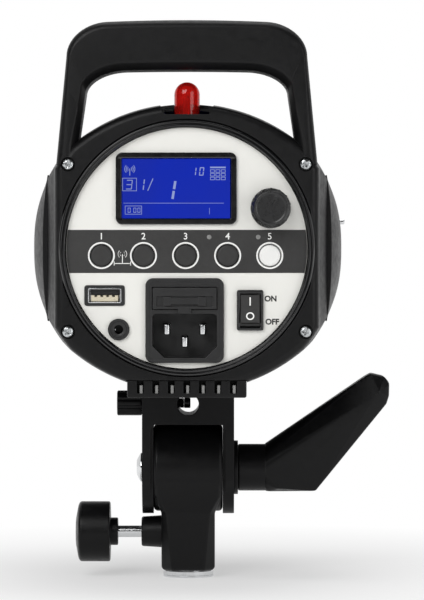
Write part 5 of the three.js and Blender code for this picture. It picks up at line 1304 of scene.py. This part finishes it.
def make_inlet():
    inlet = Place("inlet_housing")
    x, front, top = inlet.x, inlet.rear, inlet.top
    half, wall, pocket_height = 12.6, 0.8, 8.9
    recess_low, pocket_low = inlet.bottom + 1.9, top - 3.4 - pocket_height
    plate = prism("plate", [inlet.outline(0, 3.0, 8)], "y", front, FLANGE_BACK, 0.45, 3)
    loop = inlet_outline(x, half + wall, recess_low - wall, top - 2.6)
    body = prism("body", [loop], "y", FLANGE_BACK - 0.7, inlet.front, 0.2, 1)
    dish = prism("dish", [inlet.outline(-1.3, 2.0, grow_z=-1.2)], "y", front - 1, front + 0.35)
    loop = filleted(inlet_outline(x, half, recess_low, recess_low + 17.3), [0.8, 0.8, 0.8, 1.6, 1.6, 0.8])
    recess = prism("recess", [loop], "y", front - PAST, front + 15)
    pocket_up = (pocket_low, pocket_low + pocket_height)
    pocket = block("pocket", around(x, 12.75), (front - PAST, front + 17.9), pocket_up)
    pins = {name: Place(name) for name in ("line_pin", "neutral_pin", "earth_pin")}
    slots = [block("slot", wider(pin.across, GAP), (front, inlet.front + PAST), wider(pin.up, GAP))
             for pin in pins.values()]
    body = rounded(cut(joined(plate, body), dish, recess, pocket, *slots), 0.18, 2, 40)
    dressed(body, "mains_inlet", SOCKET, ["inlet_housing"])
    for name, pin in pins.items():
        blade = rounded(block("blade", pin.across, pin.along, pin.up), 0.45, 3, 40)
        dressed(blade, f"inlet_{name}", STEEL, [name])


def make_drawer():
    drawer, fuse = Place("fuse_drawer"), Place("fuse")
    x, front, low = drawer.x, drawer.rear, drawer.top - 8.3
    raised = (front + 0.1, front + 1.3)
    body = block("body", drawer.across, drawer.along, (low, drawer.top))
    tab = block("tab", around(x, 2.55), (front, front + 0.7), (drawer.bottom, low + 1.5))
    tray_up = (fuse.bottom - GAP, drawer.top + PAST)
    tray = block("tray", wider(fuse.across, GAP), wider(fuse.along, GAP), tray_up)
    well = block("well", wider(drawer.across, -1.4), around(front, 1.0), (low + 1.0, low + 5.0))
    bar = block("bar", around(x, 5.4), raised, (low + 1.9, low + 4.2))
    studs = [block("stud", around(x + s * 6.75, 1.55), raised, (low + 1.2, low + 4.8)) for s in (-1, 1)]
    body = joined(cut(joined(body, tab), tray, well), bar, *studs)
    dressed(rounded(body, 0.2, 2, 40), "fuse_carrier", SOCKET, ["fuse_drawer"], "fuse_drawer")
    axis, cap = (0, fuse.y, fuse.z), 5
    glass = rod("glass", 2.1, "x", *wider(fuse.across, -1), axis, 0.2, 48)
    dressed(glass, "fuse_glass", CLEAR, ["fuse"], "fuse_drawer")
    caps = [rod("cap", 2.35, "x", start, start + cap, axis, 0.25, 48)
            for start in (fuse.left, fuse.right - cap)]
    dressed(merged("caps", caps), "fuse_caps", STEEL, body="fuse_drawer")


def make_switch_housing():
    housing = Place("rocker_housing")
    window, floor = housing.outline(-1.2, 0.3)[::-1], housing.front - 1.2
    flange = prism("flange", [housing.outline(0, 0.8), window], "y", housing.rear, FLANGE_BACK, 0.35, 3)
    box = prism("box", [housing.outline(-0.6, 0.2), window], "y", FLANGE_BACK - 0.6, floor, 0.02)
    bottom = block("floor", wider(housing.across, -0.6), (floor, housing.front), wider(housing.up, -0.6))
    dressed(joined(flange, box, bottom), "switch_housing", GLOSS, ["rocker_housing"])


def make_switch_key():
    """The rocker, whose face bends in at its middle, and the marks on its two halves."""
    housing = Place("rocker_housing")
    x, y, z = housing.x, FLANGE_BACK + 1.3, housing.z
    pivot, rest_turn = (0, y, z), -10
    middle_face, end_face, half, reach = -2.9, -3.9, 5.5, 2.9
    side = [(end_face, -half), (0, -half), (2.6, -half / 2), (2.6, half / 2), (0, half), (end_face, half),
            (middle_face, 0)]
    side = filleted(side, [0.35, 0.5, 0.8, 0.8, 0.5, 0.35, 3.0], steps=5)
    side = [(y + out, z + up) for out, up in side]
    key = prism("key", [side], "x", *Place("power_rocker").across, 0.25, 2)
    dressed(turned_about(key, rest_turn, "X", pivot), "switch_key", BUTTON, ["power_rocker"], "power_rocker")
    slope = math.degrees(math.atan2(end_face - middle_face, half))
    depth = middle_face + (end_face - middle_face) * reach / half
    bar = ink("bar", stroke([(x, z - 1.5), (x, z + 1.5)], 0.5), y - 0.03, y + 0.05)
    ring = ring_loop("ring", (x, z), 1.6, 1.08, y - 0.03, y + 0.05)
    for mark, sign in ((bar, 1), (ring, -1)):
        moved(mark, Matrix.Translation((0, depth, sign * reach)))
        turned_about(mark, -sign * slope, "X", (x, y + depth, z + sign * reach))
    marks = turned_about(merged("marks", [bar, ring]), rest_turn, "X", pivot)
    dressed(marks, "switch_marks", INK, body="power_rocker")


def make_panel_group():
    dressed(make_ring(), "panel_ring", GLOSS, ["retaining_ring"])
    dressed(make_panel(), "panel_plate", PANEL, ["rear_panel"])
    dressed(make_band(), "panel_band", BAND)
    make_prints()
    make_display()
    make_buttons()
    make_set_knob()
    make_usb()
    make_jack()
    make_inlet()
    make_drawer()
    make_switch_housing()
    make_switch_key()


# Front: housing, mount ring, lamp and flash tube


def make_front_housing():
    housing = Place("front_housing")
    start, end = housing.along
    rim, swell, steps = 54.3, 1.2, 14
    nose = (*SHELL[:3], housing.right)
    last = (rim, rim + 1.2, rim + 0.6, rim)
    rings = []
    for k in range(steps + 1):
        share = k / steps
        if share < 0.5:
            section = grown(nose, -swell * (share * 2) ** 2)
        else:
            section = between(grown(nose, -swell), last, ((share - 0.5) * 2) ** 1.3)
        rings.append(ring_at(section, start + (end - start) * share))
    opening = rod("opening", LAMP_OPENING, "y", start - PAST, end + PAST, LAMP, steps=256)
    seat = rod("seat", 50.3, "y", start + 3, end + PAST, LAMP, steps=256)
    return rounded(cut(rounded(loft("nose", rings), 0.8, 3, 40), opening, seat), 0.3, 2, 40)


def make_mount():
    """The ring for accessories: a channel behind a lip with three notches, and the lock pin's slot."""
    ring, pin = Place("bayonet_ring"), Place("lock_pin")
    rear, front, outer = ring.rear, ring.front, ring.right
    channel, lip, opening = outer - 3.5, outer - 8.0, LAMP_OPENING
    profile = [(opening, rear), (outer, rear), (outer, front), (lip, front), (lip, front - 4),
               (channel, front - 4), (channel, rear + 2.6), (opening, rear + 2.6)]
    body = turned("mount", profile, [0.2, 0.2, 0.6, 0.5, 0.3, 0.6, 0.4, 0.2], "y", LAMP, 256, closed=True)
    tools = []
    for i in range(3):
        notch = block("notch", around(0, 10), (front - 6, front + PAST), (lip - PAST, channel))
        notch = turned_about(notch, 120 * i, "Y", (0, 0, 0))
        tools.append(moved(notch, Matrix.Translation(LAMP)))
    tools.append(block("slot", (20, outer + PAST), (pin.y - 6.5, pin.y + 1.5), around(pin.z, 1.5)))
    return rounded(cut(body, *tools), 0.3, 2, 40)


def make_lock_pin():
    pin = Place("lock_pin")
    foot, tip, head, shank = pin.left, pin.right, 2.2, 1.2
    profile = [(0, foot), (head, foot), (head, foot + 2.6), (shank, foot + 2.6), (shank, tip - 2.2),
               (shank, tip), (0, tip)]
    return turned("pin", profile, [0, 0.4, 0.4, 0.3, 0, 0.5, 0], "x", (0, pin.y, pin.z), 64)


def make_reflector():
    plate, leg_x, leg_drop = Place("reflector_plate"), 6.59, 25.67
    holes = [circle((0, LAMP_Z), 15.2, 96)]
    holes += [circle((s * leg_x, LAMP_Z - leg_drop), 3.5, 48) for s in (-1, 1)]
    loops = [circle((0, LAMP_Z), plate.right, 192)] + [hole[::-1] for hole in holes]
    return prism("plate", loops, "y", *plate.along, 0.2, 2)


def make_lamp_holder():
    holder = Place("lamp_socket")
    rear, front = holder.along
    bore, wall, flange = 13.3, 1.6, holder.right
    outer, lip = flange - 3, Place("reflector_plate").rear - GAP
    profile = [
        (bore, front - 0.2), (bore + 0.3, front), (outer - 0.3, front), (outer, front - 0.3), (outer, lip),
        (flange, lip), (flange, lip - wall), (outer, lip - wall), (outer, rear + 0.4), (outer - 0.4, rear),
        (0, rear), (0, rear + wall), (bore, rear + wall),
    ]
    return revolved("socket", profile, "y", LAMP)


def make_lamp():
    """The modelling lamp: a screw base whose thread is rings, and a frosted bulb."""
    lamp = Place("modelling_lamp")
    back, radius = lamp.rear, lamp.right
    neck, shoulder, turns, count = back + 14, back + 21.4, 5, 40
    thread = [(12.5 + 0.45 * math.cos(2 * PI * turns * k / count), back + 0.6 + 13.0 * k / count)
              for k in range(count + 1)]
    profile = [(0, back), (9.0, back), (12.0, back + 0.5), *thread, (10.6, neck), (0, neck)]
    dressed(revolved("cap", profile, "y", LAMP), "lamp_cap", ZINC)
    profile = [
        (0, neck + 0.1), (10.3, neck + 0.1), (10.5, neck + 1.5), (10.5, shoulder),
        (radius * 0.9, shoulder + 2.4), (radius, shoulder + 6.6), (radius, shoulder + 18),
        (radius * 0.92, shoulder + 23.4), (radius * 0.7, shoulder + 27.3),
        (radius * 0.38, shoulder + 29.4), (0, lamp.front),
    ]
    radii = [0, 0.3, 0, 3, 8, 8, 8, 8, 8, 8, 0]
    bulb = turned("bulb", profile, radii, "y", LAMP, 128, fillet_steps=5)
    dressed(bulb, "lamp_bulb", FROST, ["modelling_lamp"])


TUBE_RADIUS = 3.2


def tube_path():
    """The flash tube's middle line: up one leg, over a bend, round the ring and down the other leg."""
    tube = Place("flash_tube")
    ring_y, reach, gap, bend = tube.front - TUBE_RADIUS, 26.5, PI * 0.08, 5.0
    leg_steps, bend_steps, ring_steps = 6, 8, 72

    def on_ring(turn, y):
        return Vector((reach * math.sin(turn), y, -reach * math.cos(turn)))

    leg = ring_y - bend - tube.rear
    path = [on_ring(gap, tube.rear + leg * k / leg_steps) for k in range(leg_steps)]
    for k in range(bend_steps + 1):
        t = PI / 2 * k / bend_steps
        path.append(on_ring(gap + bend / reach * (1 - math.cos(t)), ring_y - bend * (1 - math.sin(t))))
    other_leg = [Vector((-p.x, p.y, p.z)) for p in reversed(path)]
    first, last = gap + bend / reach, 2 * PI - gap - bend / reach
    path += [on_ring(first + (last - first) * k / ring_steps, ring_y) for k in range(1, ring_steps)]
    return path + other_leg


def make_tube(sides=32):
    """A ring of clear tube on two legs."""
    path = tube_path()
    radius = TUBE_RADIUS - 0.05
    normal = Vector((1, 0, 0))
    rings = []
    for i, point in enumerate(path):
        ahead = (path[min(i + 1, len(path) - 1)] - path[max(i - 1, 0)]).normalized()
        normal = (normal - ahead * normal.dot(ahead)).normalized()
        other = ahead.cross(normal)
        ring = []
        for u, v in circle((0, 0), 1, sides):
            x, y, z = point + (normal * u + other * v) * radius
            ring.append((x, y, z + LAMP_Z))
        rings.append(ring)
    return loft("tube", rings)


def make_front_group():
    dressed(make_front_housing(), "front_shroud", HOUSING, ["front_housing"], sharp=35)
    dressed(make_mount(), "mount_ring", ALUMINIUM, ["bayonet_ring"])
    dressed(make_lock_pin(), "mount_lock_pin", STEEL, ["lock_pin"], "lock_pin")
    dressed(make_reflector(), "reflector_disc", ALUMINIUM, ["reflector_plate"])
    dressed(make_lamp_holder(), "lamp_holder", CERAMIC, ["lamp_socket"])
    make_lamp()
    dressed(make_tube(), "flash_ring_tube", CLEAR, ["flash_tube"])


def dress_nodes():
    """Gives every CAD node that stays a finish of its own."""
    for name, material in NODE_LOOKS.items():
        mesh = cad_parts[name].data
        mesh.materials.clear()
        mesh.materials.append(material)


# Stage: floor, world, lights, camera


def blended(tree, factor, first, second):
    """A shader between two shaders."""
    node = add(tree, "ShaderNodeMixShader")
    for i, value in enumerate((factor, first, second)):
        feed(tree, value, node.inputs[i])
    return node.outputs[0]


def make_floor():
    """A floor that takes shadows near the object, and is plain white further out."""
    bpy.ops.mesh.primitive_plane_add(size=40, location=(0, 0, 0))
    floor = bpy.context.object
    floor.name = "floor"
    material, tree, shader = node_tree("floor_white")
    shader.inputs["Base Color"].default_value = (0.86, 0.86, 0.86, 1)
    shader.inputs["Roughness"].default_value = 0.9
    shader.inputs["Specular IOR Level"].default_value = 0.0
    glow = add(tree, "ShaderNodeEmission")
    path = add(tree, "ShaderNodeLightPath").outputs
    reach = add(tree, "ShaderNodeVectorMath", operation="LENGTH")
    tree.links.new(add(tree, "ShaderNodeTexCoord").outputs["Object"], reach.inputs[0])
    far = ranged(tree, reach.outputs["Value"], 0.05, 0.26, 0.45, 1.0)
    seen = reckoned(tree, "MAXIMUM", path["Is Camera Ray"], path["Is Glossy Ray"])
    seen = reckoned(tree, "MAXIMUM", seen, path["Is Transmission Ray"])
    mix = blended(tree, reckoned(tree, "MULTIPLY", seen, far), shader.outputs[0], glow.outputs[0])
    tree.links.new(mix, tree.nodes["Material Output"].inputs["Surface"])
    floor.data.materials.append(material)


def background(tree, grey, strength):
    node = add(tree, "ShaderNodeBackground")
    feed(tree, (grey, grey, grey), node.inputs["Color"])
    feed(tree, strength, node.inputs["Strength"])
    return node.outputs[0]


def make_world():
    """Soft light all round. The camera sees white behind the object."""
    world = bpy.data.worlds.new("studio")
    bpy.context.scene.world = world
    world.use_nodes = True
    tree = world.node_tree
    tree.nodes.clear()
    path = add(tree, "ShaderNodeLightPath").outputs
    # Shiny surfaces see the white backdrop beyond the object, and a dimmer room behind the camera
    split = add(tree, "ShaderNodeSeparateXYZ")
    tree.links.new(add(tree, "ShaderNodeTexCoord").outputs["Generated"], split.inputs[0])
    backdrop = background(tree, 0.8, ranged(tree, split.outputs["Y"], -0.1, 0.5, 0.05, 1.0))
    shiny = reckoned(tree, "MAXIMUM", path["Is Glossy Ray"], path["Is Transmission Ray"])
    light = blended(tree, shiny, background(tree, 1, 0.36), backdrop)
    shown = blended(tree, path["Is Camera Ray"], light, background(tree, 1, 1.0))
    tree.links.new(shown, add(tree, "ShaderNodeOutputWorld").inputs["Surface"])


def aimed(obj, place, aim):
    obj.location = place
    obj.rotation_euler = (Vector(aim) - Vector(place)).to_track_quat("-Z", "Y").to_euler()
    return obj


def add_light(name, place, size, watts):
    light = bpy.data.lights.new(name, "AREA")
    light.shape = "RECTANGLE"
    light.size, light.size_y = size
    light.energy = watts
    aimed(linked(name, light), place, (0, -0.05, 0.13))


def make_camera():
    distance, frame_height, right, down = 1.30, 0.2335, 0.0098, 0.0202
    rear, height = REAR * MM, LAMP_Z * MM
    camera = bpy.data.cameras.new("camera")
    camera.sensor_width = 36
    camera.lens = camera.sensor_width * distance / frame_height
    camera.clip_start, camera.clip_end = 0.05, 50
    obj = aimed(linked("camera", camera), (right, rear - distance, height), (right, rear, height - down))
    bpy.context.scene.camera = obj


make_camera()
make_bracket()
make_yoke_group()
make_frame_group()
make_barrel_group()
make_panel_group()
make_front_group()
dress_nodes()
make_floor()
make_world()
add_light("key", (-0.55, -1.15, 0.85), (0.9, 0.9), 11.0)
add_light("fill", (0.95, -0.95, 0.35), (0.7, 0.9), 4.0)
add_light("top", (0.1, 0.1, 1.25), (0.9, 0.6), 5.0)
bpy.context.scene.view_settings.view_transform = "Standard"
